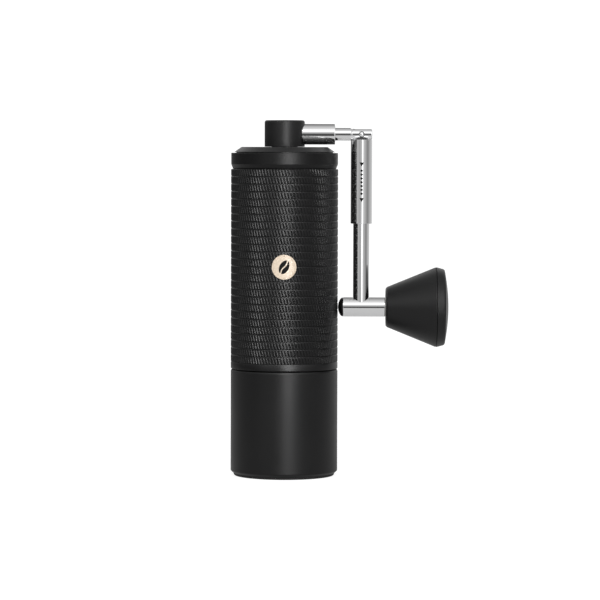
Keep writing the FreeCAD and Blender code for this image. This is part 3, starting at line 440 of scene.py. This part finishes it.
def make_collar():
    """Smooth ring with a skirt inside the shell, a chamfered lower edge and a seat for the lid."""
    bore = 22.9
    skirt = 23.85
    base = shell_high.z + 0.1
    lid_wall = lid_high.x + 0.25
    lid_seat = lid_low.z + 5.9
    outline = [
        (bore, collar_low.z),
        (skirt, collar_low.z, 0.15),
        (skirt, base),
        (BODY_RADIUS - 0.95, base, 0.12),
        (collar_high.x, base + 2.3, 0.15),
        (collar_high.x, collar_high.z, 0.28),
        (lid_wall, collar_high.z, 0.15),
        (lid_wall, lid_seat),
        (bore, lid_seat, 0.15),
    ]
    collar = lathe("collar_ring", outline, segments=224)
    fit(collar, "mill", COLLAR_ANODISED, "black_anodised", "top_collar")


# ---------------------------------------------------------------------------
# Textured grip shell
# ---------------------------------------------------------------------------

FLUTES = 105
# Radians that a flute turns round the shell for each millimetre that it climbs.
FLUTE_TWIST = 0.0104
# Share of one flute pitch, and how far the surface lies below the crest there.
FLUTE_SECTION = ((0.0, 0.0), (0.42, 0.0), (0.47, 0.03), (0.7, 0.33), (0.75, 0.33), (0.98, 0.03))
ROWS = 26
ROW_PITCH = 3.603
# Height above a row's lower groove, depth below the crest, and share of the flutes' depth.
ROW_SECTION = ((0.0, 0.3, 0.0), (0.2, 0.0, 1.0), (3.0, 0.0, 1.0), (3.06, 0.01, 0.15), (3.5, 0.19, 0.0))


def shell_ring(work, radius, height, depth_share):
    """One ring of the shell: flutes at their full depth times depth_share."""
    ring = []
    for flute in range(FLUTES):
        for share, drop in FLUTE_SECTION:
            angle = 2 * math.pi * (flute + share) / FLUTES - FLUTE_TWIST * height
            reach = radius - drop * depth_share
            spot = (reach * math.cos(angle) * MM, reach * math.sin(angle) * MM, height * MM)
            ring.append(work.verts.new(spot))
    return ring


def make_grip_shell():
    """Slanted V flutes all round, cut into rows by ring grooves, above a smooth band."""
    bore = 23.9
    flutes_start = shell_low.z + 3.75
    flutes_end = shell_high.z - 0.3
    levels = [
        (bore, shell_low.z, 0),
        (BODY_RADIUS - 0.7, shell_low.z, 0),
        (BODY_RADIUS - 0.06, shell_low.z + 0.5, 0),
        (BODY_RADIUS, shell_low.z + 0.62, 0),
        (BODY_RADIUS, flutes_start - 0.6, 0),
        (BODY_RADIUS - 0.22, flutes_start - 0.06, 0),
    ]
    for row in range(ROWS):
        row_start = flutes_start + ROW_PITCH * row
        for rise, drop, depth_share in ROW_SECTION:
            if row_start + rise < flutes_end:
                levels.append((BODY_RADIUS - drop, row_start + rise, depth_share))
    levels += [(BODY_RADIUS - 0.25, shell_high.z, 0), (bore, shell_high.z, 0)]
    work = bmesh.new()
    rings = [shell_ring(work, *level) for level in levels]
    bridge_all(work, rings, FLUTES * len(FLUTE_SECTION), closed=True)
    shell = finish_mesh("grip_shell", work, sharp_degrees=25)
    fit(shell, "mill", GRIP_ANODISED, "black_anodised", "outer_body")


# ---------------------------------------------------------------------------
# Inlays: thin raised shapes on a cylinder's front
# ---------------------------------------------------------------------------

def on_cylinder(centre_x, radius, across, height):
    """A point on a cylinder's front, `across` millimetres of arc to the right."""
    angle = across / radius
    return Vector((centre_x + radius * math.sin(angle), -radius * math.cos(angle), height)) * MM


def inlay(name, strips, centre_x, radius, proud, centre_z, turn=0.0):
    """A closed thin solid over a cylinder; a strip is (height, left edge, right edge).

    The strips are turned about their own origin, then raised to centre_z.
    """
    columns = 7
    root = 0.15
    work = bmesh.new()
    outer = []
    inner = []
    for height, left, right in strips:
        outer_row = []
        inner_row = []
        for column in range(columns):
            across = left + (right - left) * column / (columns - 1)
            flat_x = across * math.cos(turn) - height * math.sin(turn)
            flat_z = across * math.sin(turn) + height * math.cos(turn) + centre_z
            outer_row.append(work.verts.new(on_cylinder(centre_x, radius + proud, flat_x, flat_z)))
            inner_row.append(work.verts.new(on_cylinder(centre_x, radius - root, flat_x, flat_z)))
        outer.append(outer_row)
        inner.append(inner_row)
    for row in range(len(strips) - 1):
        for column in range(columns - 1):
            for sheet in (outer, inner):
                work.faces.new((sheet[row][column], sheet[row][column + 1],
                                sheet[row + 1][column + 1], sheet[row + 1][column]))
        for column in (0, columns - 1):
            work.faces.new((outer[row][column], outer[row + 1][column],
                            inner[row + 1][column], inner[row][column]))
    for row in (0, len(strips) - 1):
        for column in range(columns - 1):
            work.faces.new((outer[row][column], outer[row][column + 1],
                            inner[row][column + 1], inner[row][column]))
    return finish_mesh(name, work)


def make_badge():
    """A disc let into the shell: a raised rim round a very slightly lower field."""
    segments = 96
    rim_radius = BODY_RADIUS + 0.14
    reach = BADGE_RADIUS * 0.985
    # Share of the disc's radius, and height against the rim.
    section = ((0.0, -0.03), (0.4, -0.03), (0.8, -0.03), (0.855, -0.03), (0.865, -0.07), (0.88, -0.07),
               (0.89, 0.0), (0.955, 0.0), (0.985, -0.04), (1.0, -0.14), (1.0, -0.9))
    work = bmesh.new()
    rings = []
    for share, rise in section:
        ring = []
        for index in range(1 if share == 0 else segments):
            angle = 2 * math.pi * index / segments
            across = reach * share * math.cos(angle)
            height = BADGE_Z + reach * share * math.sin(angle)
            ring.append(work.verts.new(on_cylinder(0, rim_radius + rise, across, height)))
        rings.append(ring)
    bridge_all(work, rings, segments)
    work.faces.new(list(reversed(rings[-1])))
    badge = finish_mesh("badge_disc", work)
    fit(badge, "mill", ENAMEL, "badge_enamel", "body_badge")


def make_badge_motif():
    """A plain coffee bean: two halves of an oval either side of a wavy cleft."""
    length = 3.5
    width = 2.25
    cleft = 0.28
    lean = math.radians(-28)
    thinnest = 0.02
    rows = 22
    for side, label in ((-1, "left"), (1, "right")):
        strips = []
        for row in range(rows + 1):
            height = length * math.sin(math.pi * (row / rows - 0.5)) * 0.995
            edge = width * math.sqrt(max(0.0, 1 - (height / length) ** 2))
            wave = 0.5 * math.sin(math.pi * height / length) * (1 - 0.3 * abs(height / length))
            inner_edge = wave + side * cleft
            if side * inner_edge < edge:
                outer_edge = side * max(edge, abs(inner_edge) + thinnest)
            else:
                outer_edge = inner_edge + side * thinnest
            strips.append((height, min(inner_edge, outer_edge), max(inner_edge, outer_edge)))
        half = inlay(f"badge_bean_{label}", strips, 0, BODY_RADIUS + 0.11, 0.03, BADGE_Z, lean)
        fit(half, "mill", MARK_INK, "black_plastic")


# ---------------------------------------------------------------------------
# Lid and crank hub
# ---------------------------------------------------------------------------

def make_lid():
    """Bevelled plate with a seal groove round its skirt and a boss for the hub's bush."""
    skirt = 22.3
    skirt_inside = skirt - 2.5
    groove = skirt - 0.9
    groove_low = lid_low.z + 1.9
    groove_high = lid_low.z + 3.9
    rim_low = lid_low.z + 5.95
    rim_high = collar_high.z - 0.35
    neck = lid_high.x - 0.9
    bevel_start = lid_high.z - 2.5
    bevel_end = 20.9
    bush_flange = 9.0
    bush_seat = lid_high.z - 0.5
    bush = 7.62
    boss = 9.2
    boss_low = lid_low.z + 6.3
    ceiling = lid_low.z + 9.1
    outline = [
        (skirt_inside, lid_low.z),
        (skirt, lid_low.z, 0.4),
        (skirt, groove_low),
        (groove, groove_low),
        (groove, groove_high),
        (skirt, groove_high),
        (skirt, rim_low),
        (lid_high.x, rim_low, 0.1),
        (lid_high.x, rim_high),
        (neck, rim_high),
        (neck, bevel_start),
        (lid_high.x - 0.1, bevel_start, 0.05),
        (lid_high.x, bevel_start + 0.1, 0.05),
        (bevel_end, lid_high.z, 0.25),
        (bush_flange, lid_high.z, 0.05),
        (bush_flange, bush_seat),
        (bush, bush_seat),
        (bush, boss_low),
        (boss, boss_low, 0.2),
        (boss, ceiling, 0.4),
        (skirt_inside, ceiling, 0.4),
    ]
    lid = lathe("lid_plate", outline, segments=224)
    fit(lid, "lid", LID_ANODISED, "black_anodised", "lid_cover")


# Where the stub's narrow spigot ends and its full radius starts.
SPIGOT_X = 7.95


def make_hub():
    """Plain drum on a journal with a clip groove, bored from the side for the stub."""
    radius = hub_high.x
    base = lid_high.z + 0.12
    socket = 5.22
    socket_top = hub_high.z - 4.3
    journal = 6.4
    groove = 5.9
    groove_low = hub_low.z + 0.65
    groove_high = hub_low.z + 1.55
    outline = [
        (socket, hub_low.z),
        (journal, hub_low.z, 0.15),
        (journal, groove_low),
        (groove, groove_low),
        (groove, groove_high),
        (journal, groove_high),
        (journal, base),
        (radius, base, 0.15),
        (radius, hub_high.z, 1.05),
        (0, hub_high.z),
        (0, socket_top),
        (socket, socket_top),
    ]
    hub = lathe("hub_drum", outline)
    carve(hub, rod_cutter("hub_bore", STUB_RADIUS + 0.07, SPIGOT_X - 0.05, radius + 2,
                          (0, 0, STUB_Z), 72))
    fit(hub, "crank", HUB_BLACK, "black_anodised", "crank_hub")


# ---------------------------------------------------------------------------
# Steel linkage
# ---------------------------------------------------------------------------

PIN_RADIUS = 1.18


def across_pivot():
    """Turns a lathe about X into one about the pivot's own axis, which runs along Y."""
    return Matrix.Translation(Vector((PIVOT_X, 0, STUB_Z)) * MM) @ Matrix.Rotation(math.pi / 2, 4, "Z")


def make_stub():
    """Shouldered rod that ends in a knuckle.

    The knuckle is slotted for the arm's tongue, cut to an arch under its front cheek, and bored
    with some room round the pin.
    """
    spigot = 2.6
    shoulder = 24.5
    neck_radius = 3.1
    knuckle_start = 32.0
    knuckle_radius = 2.68
    outline = [
        (0, stub_low.x),
        (spigot, stub_low.x, 0.1),
        (spigot, SPIGOT_X),
        (STUB_RADIUS, SPIGOT_X, 0.1),
        (STUB_RADIUS, shoulder, 0.3),
        (neck_radius, shoulder),
        (neck_radius, knuckle_start, 0.1),
        (knuckle_radius, knuckle_start + 0.95, 0.1),
        (knuckle_radius, stub_high.x, 0.4),
        (0, stub_high.x),
    ]
    stub = lathe("stub_rod", outline, "X", (0, 0, STUB_Z), 384)
    half_slot = 0.9
    slot_start = PIVOT_X - 3.3
    carve(stub, block_cutter("fork_slot", (slot_start, -half_slot, STUB_Z - 5),
                             (stub_high.x + 2, half_slot, STUB_Z + 5)))
    arch_radius = 5.2
    arch_top = -1.25
    arch = rod_cutter("knuckle_arch", arch_radius, -4, -0.5, segments=160)
    arch_place = Matrix.Translation(Vector((0, 0, arch_top - arch_radius)) * MM)
    arch.data.transform(arch_place @ across_pivot())
    carve(stub, arch)
    pin_hole = rod_cutter("pin_hole", PIN_RADIUS + 0.3, -4, 4)
    pin_hole.data.transform(across_pivot())
    carve(stub, pin_hole)
    fit(stub, "crank", STEEL_ALONG_X, "polished_steel", "crank_stub")


def make_pin():
    """Pin through the knuckle, with a dome on each end just proud of the cheeks."""
    tip = pin_high.y
    # Share of the pin's radius, depth below the dome's tip, and rounding.
    dome = ((0.35, 0.04, 0.2), (0.65, 0.14, 0.2), (0.88, 0.29, 0.1), (1.0, 0.45, 0.05))
    front = [(PIN_RADIUS * share, depth - tip, rounding) for share, depth, rounding in dome]
    back = [(radius, -height, rounding) for radius, height, rounding in reversed(front)]
    pin = lathe("pin_rivet", [(0, -tip)] + front + back + [(0, tip)], "X", segments=96)
    pin.data.transform(across_pivot())
    fit(pin, "crank", STEEL, "polished_steel", "hinge_pin")


def make_sleeve():
    """Lock sleeve: a narrow throat round the rod's neck above a wide bore round the rod."""
    throat = 3.16
    bore = ARM_RADIUS + 0.07
    land = 6.6
    bevel = 0.1
    outline = [
        (throat, sleeve_high.z, 0.12),
        (throat, sleeve_high.z - land),
        (bore, sleeve_high.z - land - 0.3),
        (bore, sleeve_low.z, 0.12),
        (SLEEVE_RADIUS, sleeve_low.z, 0.25),
        (SLEEVE_RADIUS, sleeve_high.z - bevel, 0.03),
        (SLEEVE_RADIUS - bevel, sleeve_high.z, 0.03),
    ]
    sleeve = lathe("sleeve_tube", outline, "Z", (PIVOT_X, 0, 0), 256)
    fit(sleeve, "sleeve", STEEL, "polished_steel", "lock_sleeve")


def make_sleeve_spring():
    """Coil round the rod's neck between the rod and the sleeve's land, built at one fixed length."""
    turns = 7
    steps = 40 * turns
    sides = 10
    wire = 0.32
    radius = (spring_high.x - spring_low.x) / 2 - wire
    base = spring_low.z + wire
    rise = spring_high.z - wire - base
    up = Vector((0, 0, 1))
    work = bmesh.new()
    rings = []
    for step in range(steps + 1):
        share = step / steps
        angle = 2 * math.pi * turns * share
        out = Vector((math.cos(angle), math.sin(angle), 0))
        centre = Vector((PIVOT_X, 0, base + rise * share)) + radius * out
        ring = []
        for side in range(sides):
            around = 2 * math.pi * side / sides
            spread = math.cos(around) * out + math.sin(around) * up
            ring.append(work.verts.new((centre + wire * spread) * MM))
        rings.append(ring)
    bridge_all(work, rings, sides)
    work.faces.new(rings[0])
    work.faces.new(list(reversed(rings[-1])))
    spring = finish_mesh("sleeve_coil", work, sharp_degrees=50)
    spring.data.materials.append(SPRING_STEEL)
    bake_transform(spring)
    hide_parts("sleeve_spring")


def make_sleeve_mark(name, strips, depth):
    """One mark on the sleeve's front, at a depth below the stub's axis."""
    mark = inlay(name, strips, PIVOT_X, SLEEVE_RADIUS, 0.012, STUB_Z - depth)
    fit(mark, "sleeve", MARK_INK, "black_plastic")


def make_sleeve_marks():
    """Two pull arrows and a row of dots between them."""
    rows = 8
    arrow_start = -1.15
    arrow_length = 2.1
    arrow_half_width = 1.02
    dot_radius = 0.6
    dots_start = 17.6
    dot_pitch = 1.85
    arrow = []
    dot = []
    for row in range(rows + 1):
        share = row / rows
        edge = arrow_half_width * share + 0.03
        arrow.append((arrow_start + arrow_length * share, -edge, edge))
        height = dot_radius * math.sin(math.pi * (share - 0.5)) * 0.99
        edge = math.sqrt(dot_radius ** 2 - height ** 2)
        dot.append((height, -edge, edge))
    for index, depth in enumerate((14.5, 31.7)):
        make_sleeve_mark(f"sleeve_arrow_{index}", arrow, depth)
    for index in range(7):
        make_sleeve_mark(f"sleeve_dot_{index}", dot, dots_start + dot_pitch * index)


def make_arm():
    """Rod with a neck at its top, hollowed at its foot to sit on the cross tube."""
    neck_radius = 3.08
    neck_top = STUB_Z - 5.5
    shoulder = STUB_Z - 24.0
    tube_top = KNOB_Z + TUBE_RADIUS
    outline = [
        (0, tube_top - 2.3),
        (ARM_RADIUS, tube_top - 2.3),
        (ARM_RADIUS, tube_top + 6),
        (ARM_RADIUS, shoulder, 0.3),
        (neck_radius, shoulder),
        (neck_radius, neck_top, 0.2),
        (0, neck_top),
    ]
    rod = lathe("arm_bar", outline, "Z", (PIVOT_X, 0, 0), 256)
    carve(rod, rod_cutter("arm_cradle", TUBE_RADIUS - 0.02, PIVOT_X - 9, PIVOT_X + 9,
                          (0, 0, KNOB_Z), 256))
    fit(rod, "arm", STEEL, "polished_steel", "arm_rod")


def make_arm_tongue():
    """Flat tongue with an oval head, which turns in the fork."""
    half_thickness = 0.85
    reach = 3.0
    crown = 2.3
    root = 6.0
    steps = 24
    outline = []
    for index in range(steps + 1):
        angle = math.pi * index / steps
        outline.append((reach * math.cos(angle), crown * math.sin(angle)))
    outline += [(-reach, -root), (reach, -root)]
    work = bmesh.new()
    sides = []
    for y in (-half_thickness, half_thickness):
        sides.append([work.verts.new(Vector((PIVOT_X + x, y, STUB_Z + z)) * MM) for x, z in outline])
    work.faces.new(sides[0])
    work.faces.new(list(reversed(sides[1])))
    bridge(work, sides[0], sides[1], len(outline))
    tongue = finish_mesh("arm_tongue", work)
    soften = tongue.modifiers.new("soften", "BEVEL")
    soften.width = 0.12 * MM
    soften.segments = 2
    soften.limit_method = "ANGLE"
    fit(tongue, "arm", STEEL, "polished_steel")


# The mouth of the cross tube that takes the bumper's plug.
MOUTH_RADIUS = 2.97
MOUTH_END = tube_low.x + 3.8


def make_cross_tube():
    """Tube across the arm's end, with a bore for the knob's axle behind its mouth."""
    axle_bore = 2.42
    outline = [
        (MOUTH_RADIUS, tube_low.x, 0.1),
        (TUBE_RADIUS, tube_low.x, 0.25),
        (TUBE_RADIUS, tube_high.x, 0.25),
        (axle_bore, tube_high.x),
        (axle_bore, MOUTH_END),
        (MOUTH_RADIUS, MOUTH_END),
    ]
    tube = lathe("cross_bar", outline, "X", (0, 0, KNOB_Z), 256)
    fit(tube, "arm", STEEL_ALONG_X, "polished_steel", "cross_tube")


def make_bumper():
    """Blunt rubber dome over the tube's end, on a plug in its mouth."""
    base = tube_low.x - 0.03
    bulge = base - bumper_low.x
    radius = TUBE_RADIUS - 0.08
    plug = MOUTH_RADIUS - 0.02
    plug_end = MOUTH_END - 0.2
    steps = 12
    fullness = 1.15
    outline = [(0, bumper_low.x)]
    for step in reversed(range(steps)):
        angle = math.radians(90 * step / steps)
        outline.append((radius * math.cos(angle) ** fullness, base - bulge * math.sin(angle)))
    outline += [(plug, base), (plug, plug_end), (0, plug_end)]
    bumper = lathe("bumper_dome", outline, "X", (0, 0, KNOB_Z), 96)
    fit(bumper, "arm", BUMPER_RUBBER, "foot_rubber", "arm_bumper")


# ---------------------------------------------------------------------------
# Knob
# ---------------------------------------------------------------------------

KNOB_RADIUS = cap_high.z - KNOB_Z
SEAM_X = knob_high.x
CAP_RECESS_RADIUS = 15.0


def make_knob_body():
    """Cone bored for its bushes and the axle's head, with a recess for the cap."""
    small = 9.8
    bevel = 0.75
    start = knob_low.x
    mouth_radius = 4.9
    mouth_floor = start + 0.65
    bush = 4.6
    head_radius = 7.0
    head_seat = 69.5
    recess_floor = SEAM_X - 2.35
    outline = [
        (mouth_radius, start, 0.15),
        (small - bevel, start + 0.1, 0.08),
        (small, start + bevel, 0.08),
        (KNOB_RADIUS - 0.02, SEAM_X, 0.22),
        (CAP_RECESS_RADIUS, SEAM_X, 0.2),
        (CAP_RECESS_RADIUS, recess_floor),
        (head_radius, recess_floor),
        (head_radius, head_seat),
        (bush, head_seat),
        (bush, mouth_floor),
        (mouth_radius, mouth_floor),
    ]
    cone = lathe("knob_cone", outline, "X", (0, 0, KNOB_Z), 192)
    fit(cone, "knob", KNOB_BLACK, "knob_plastic", "knob_body")


def make_knob_cap():
    """Slightly domed cap on a hollow plug, set a fine seam away from the cone."""
    rim_radius = 18.6
    rim = 77.2
    dome_start = rim + 0.7
    seam = SEAM_X + 0.15
    plug = CAP_RECESS_RADIUS - 0.02
    plug_inside = CAP_RECESS_RADIUS - 2.2
    plug_end = SEAM_X - 2.2
    underside = SEAM_X + 0.7
    outline = [(0, cap_high.x)]
    for share in (0.12, 0.25, 0.4, 0.55, 0.7, 0.82):
        rise = (cap_high.x - dome_start) * (1 - share ** 2)
        outline.append((share * (rim_radius - 0.6), dome_start + rise))
    outline += [
        (rim_radius - 0.5, rim + 0.75, 0.8),
        (rim_radius, rim, 0.6),
        (KNOB_RADIUS, seam, 0.2),
        (plug, seam, 0.1),
        (plug, plug_end),
        (plug_inside, plug_end),
        (plug_inside, underside),
        (0, underside),
    ]
    cap = lathe("knob_dome", outline, "X", (0, 0, KNOB_Z), 192)
    fit(cap, "knob", KNOB_BLACK, "knob_plastic", "knob_cap")


# ---------------------------------------------------------------------------
# Finishes for the CAD pieces that stay
# ---------------------------------------------------------------------------

SLOT_FINISH = {
    "black_anodised": ANODISED, "foot_rubber": RUBBER, "badge_enamel": ENAMEL,
    "black_plastic": BLACK_PLASTIC, "raw_aluminium": ALUMINIUM, "burr_steel": BURR_STEEL,
    "bearing_steel": BEARING_STEEL, "cage_brass": BRASS, "spring_steel": SPRING_STEEL,
    "shaft_steel": SHAFT_STEEL, "silicone": SILICONE, "bush_plastic": ACETAL,
    "polished_steel": STEEL, "knob_plastic": KNOB_BLACK,
}


def finish_cad_nodes():
    for entry in frame["record"]["subparts"]:
        node = frame["nodes"][entry["node"]]
        node.data.materials.clear()
        node.data.materials.append(SLOT_FINISH[entry["material_slot"]])


# ---------------------------------------------------------------------------
# Studio light. Angles are in degrees, as seen from the object.
# ---------------------------------------------------------------------------

# Light round the horizon: 0 is towards the camera, positive to +X.
HORIZON = ((-180, 0.9), (-160, 0.5), (-145, 0.15), (-100, 0.1), (-56, 0.14), (-46, 0.62),
           (-20, 0.46), (-6, 0.6), (18, 0.9), (26, 0.7), (38, 0.58), (50, 0.45), (64, 0.3),
           (78, 0.32), (92, 0.5), (112, 0.6), (135, 0.75), (155, 0.9), (180, 1.0))
# Light over the top, from the front (0) over the zenith (90) to the back (180).
SKY = ((0, 0.6), (16, 0.7), (26, 0.9), (35, 1.3), (38, 3.0), (43, 3.8), (47, 1.8), (54, 1.1),
       (62, 1.0), (76, 0.8), (92, 0.66), (108, 0.5), (119, 0.42), (127, 0.7), (138, 1.2),
       (150, 1.3), (180, 1.1))
# Elevations between which the sky's light takes over from the horizon's.
SKY_START = 6
SKY_FULL = 18
# The ramps' greys are the strengths above over LIGHT_SCALE, and LIGHT_LEVEL multiplies them.
LIGHT_SCALE = 4.0
LIGHT_LEVEL = 3.4

# A tall bright strip beside the camera. Its strength rises by STRIP_SHEEN in reflections, and
# falls by MIRROR_CUT again in mirror-sharp ones, so the steel isn't blown out.
STRIP_STRENGTH = 6.0
STRIP_SHEEN = 16.0
MIRROR_CUT = 20.2
STRIP_AZIMUTH = (4.0, 15.0)
STRIP_ELEVATION = (-35, 52)
STRIP_SOFTNESS = (1.5, 12.0)

# A narrow dark gap beside the strip, and the share of the light that it takes away.
GAP_AZIMUTH = (-0.8, 2.8)
GAP_ELEVATION = (-40, 9)
GAP_SOFTNESS = (0.8, 3.0)
GAP_SHADE = 0.86

# A dark patch straight behind the object, by the components of a unit direction: how fast it
# fades to each side, how far back it sets in, how fast, and the share of the light it takes.
BACK_FADE = 6.0
BACK_ONSET = 0.36
BACK_GROWTH = 2.5
BACK_SHADE = 0.85

# What the camera sees behind the object: just past white.
BACKDROP_STRENGTH = 1.1


def math_node(tree, operation, first, second=None, third=None, clamp=False):
    node = tree.nodes.new("ShaderNodeMath")
    node.operation = operation
    node.use_clamp = clamp
    for index, value in enumerate((first, second, third)):
        if value is None:
            continue
        if isinstance(value, (int, float)):
            node.inputs[index].default_value = value
        else:
            tree.links.new(value, node.inputs[index])
    return node.outputs[0]


def grey_ramp(tree, place, stops):
    """A grey that follows the stops, each of which is (place from 0 to 1, strength)."""
    ramp = tree.nodes.new("ShaderNodeValToRGB")
    ramp.color_ramp.interpolation = "LINEAR"
    elements = ramp.color_ramp.elements
    while len(elements) > 1:
        elements.remove(elements[-1])
    for index, (position, strength) in enumerate(stops):
        element = elements[0] if index == 0 else elements.new(position)
        element.position = position
        grey = strength / LIGHT_SCALE
        element.color = (grey, grey, grey, 1)
    tree.links.new(place, ramp.inputs[0])
    return ramp.outputs["Color"]


def smooth_step(tree, angle, start, end, first=0.0, last=1.0):
    """`first` before an angle, `last` after another, and a smooth change between them."""
    step = tree.nodes.new("ShaderNodeMapRange")
    step.interpolation_type = "SMOOTHSTEP"
    step.inputs["From Min"].default_value = math.radians(start)
    step.inputs["From Max"].default_value = math.radians(end)
    step.inputs["To Min"].default_value = first
    step.inputs["To Max"].default_value = last
    tree.links.new(angle, step.inputs["Value"])
    return step.outputs["Result"]


def band(tree, angle, edges, soft):
    """1 between two angles and 0 outside them, with soft edges of a given width."""
    low, high = edges
    rising = smooth_step(tree, angle, low - soft / 2, low + soft / 2)
    falling = smooth_step(tree, angle, high - soft / 2, high + soft / 2, 1.0, 0.0)
    return math_node(tree, "MULTIPLY", rising, falling)


def region(tree, azimuth, elevation, azimuth_edges, elevation_edges, softness):
    """1 inside a region of directions and 0 outside it."""
    across = band(tree, azimuth, azimuth_edges, softness[0])
    upward = band(tree, elevation, elevation_edges, softness[1])
    return math_node(tree, "MULTIPLY", across, upward)


def back_patch(tree, x, y):
    """1 straight behind the object, fading to the sides and towards the front."""
    sideways = math_node(tree, "ABSOLUTE", x)
    central = math_node(tree, "MULTIPLY_ADD", sideways, -BACK_FADE, 1.0, clamp=True)
    behind = math_node(tree, "MULTIPLY_ADD", y, BACK_GROWTH, -BACK_GROWTH * BACK_ONSET, clamp=True)
    return math_node(tree, "MULTIPLY", central, behind)


def shaded(tree, mask, shade):
    """What is left of the light where a mask takes a share of it away."""
    return math_node(tree, "MULTIPLY_ADD", mask, -shade, 1.0)


def surroundings(tree, forward, azimuth, elevation):
    """The colour of the light all round, which changes from the horizon's to the sky's."""
    azimuth_place = math_node(tree, "MULTIPLY_ADD", azimuth, 1 / (2 * math.pi), 0.5)
    front_angle = math_node(tree, "ARCCOSINE", forward)
    front_place = math_node(tree, "MULTIPLY", front_angle, 1 / math.pi)
    horizon = grey_ramp(tree, azimuth_place, [((angle + 180) / 360, light) for angle, light in HORIZON])
    sky = grey_ramp(tree, front_place, [(angle / 180, light) for angle, light in SKY])
    mixed = tree.nodes.new("ShaderNodeMix")
    mixed.data_type = "RGBA"
    tree.links.new(smooth_step(tree, elevation, SKY_START, SKY_FULL), mixed.inputs["Factor"])
    tree.links.new(horizon, mixed.inputs["A"])
    tree.links.new(sky, mixed.inputs["B"])
    return mixed.outputs["Result"]


def make_world():
    """Pale light all round with a gap, a dark patch behind and a tall strip beside the camera.

    The camera itself sees a plain white backdrop instead.
    """
    world = bpy.data.worlds.new("studio")
    bpy.context.scene.world = world
    world.use_nodes = True
    tree = world.node_tree
    coordinates = tree.nodes.new("ShaderNodeTexCoord")
    split = tree.nodes.new("ShaderNodeSeparateXYZ")
    tree.links.new(coordinates.outputs["Generated"], split.inputs[0])
    x, y, z = split.outputs
    forward = math_node(tree, "MULTIPLY", y, -1.0)
    azimuth = math_node(tree, "ARCTAN2", x, forward)
    elevation = math_node(tree, "ARCSINE", z)
    path = tree.nodes.new("ShaderNodeLightPath")

    pale = tree.nodes["Background"]
    gap = region(tree, azimuth, elevation, GAP_AZIMUTH, GAP_ELEVATION, GAP_SOFTNESS)
    shades = math_node(tree, "MULTIPLY", shaded(tree, gap, GAP_SHADE),
                       shaded(tree, back_patch(tree, x, y), BACK_SHADE))
    tree.links.new(surroundings(tree, forward, azimuth, elevation), pale.inputs["Color"])
    tree.links.new(math_node(tree, "MULTIPLY", shades, LIGHT_LEVEL), pale.inputs["Strength"])

    strip = region(tree, azimuth, elevation, STRIP_AZIMUTH, STRIP_ELEVATION, STRIP_SOFTNESS)
    glossy = math_node(tree, "MULTIPLY_ADD", path.outputs["Is Glossy Ray"], STRIP_SHEEN, STRIP_STRENGTH)
    level = math_node(tree, "MULTIPLY_ADD", path.outputs["Is Singular Ray"], -MIRROR_CUT, glossy)
    glow = tree.nodes.new("ShaderNodeBackground")
    tree.links.new(math_node(tree, "MULTIPLY", strip, level), glow.inputs["Strength"])
    both = tree.nodes.new("ShaderNodeAddShader")
    tree.links.new(pale.outputs[0], both.inputs[0])
    tree.links.new(glow.outputs[0], both.inputs[1])

    backdrop = tree.nodes.new("ShaderNodeBackground")
    backdrop.inputs["Color"].default_value = (1, 1, 1, 1)
    backdrop.inputs["Strength"].default_value = BACKDROP_STRENGTH
    choose = tree.nodes.new("ShaderNodeMixShader")
    tree.links.new(path.outputs["Is Camera Ray"], choose.inputs[0])
    tree.links.new(both.outputs[0], choose.inputs[1])
    tree.links.new(backdrop.outputs[0], choose.inputs[2])
    tree.links.new(choose.outputs[0], tree.nodes["World Output"].inputs["Surface"])


# ---------------------------------------------------------------------------
# Floor and camera
# ---------------------------------------------------------------------------

def make_floor():
    """A pale round table top, bright enough to read as a white sweep."""
    radius = 720.0 * MM
    front_edge = 470.0 * MM
    glow_always = 0.36
    glow_for_camera = 0.5
    work = bmesh.new()
    bmesh.ops.create_circle(work, cap_ends=True, segments=128, radius=radius)
    mesh = bpy.data.meshes.new("floor")
    work.to_mesh(mesh)
    work.free()
    floor = new_object("floor", mesh)
    floor.location = (0, radius - front_edge, 0)
    material = bpy.data.materials.new("pale_floor")
    material.use_nodes = True
    tree = material.node_tree
    shader = tree.nodes["Principled BSDF"]
    shader.inputs["Base Color"].default_value = (0.3, 0.3, 0.3, 1)
    shader.inputs["Roughness"].default_value = 0.9
    shader.inputs["Specular IOR Level"].default_value = 0.0
    shader.inputs["Emission Color"].default_value = (1, 1, 1, 1)
    path = tree.nodes.new("ShaderNodeLightPath")
    glow = math_node(tree, "MULTIPLY_ADD", path.outputs["Is Camera Ray"], glow_for_camera, glow_always)
    tree.links.new(glow, shader.inputs["Emission Strength"])
    floor.data.materials.append(material)


def make_camera():
    """In front of the object, looking very slightly down at its middle."""
    aim = Vector((7.64, 0, 85.36)) * MM
    distance = 1480.0 * MM
    pitch = math.radians(2.9)
    roll = math.radians(0.16)
    data = bpy.data.cameras.new("camera")
    data.lens = 182.5
    data.sensor_width = 36.0
    data.clip_end = 20
    camera = new_object("camera", data)
    camera.location = aim + distance * Vector((0, -math.cos(pitch), math.sin(pitch)))
    facing = (aim - camera.location).to_track_quat("-Z", "Y")
    camera.rotation_euler = (facing.to_matrix() @ Matrix.Rotation(roll, 3, "Z")).to_euler()
    bpy.context.scene.camera = camera


bpy.context.scene.view_settings.view_transform = "Standard"

finish_cad_nodes()
make_cup()
make_foot()
make_collar()
make_grip_shell()
make_badge()
make_badge_motif()
make_lid()
make_hub()
make_stub()
make_pin()
make_sleeve()
make_sleeve_spring()
make_sleeve_marks()
make_arm()
make_arm_tongue()
make_cross_tube()
make_bumper()
make_knob_body()
make_knob_cap()
make_world()
make_floor()
make_camera()
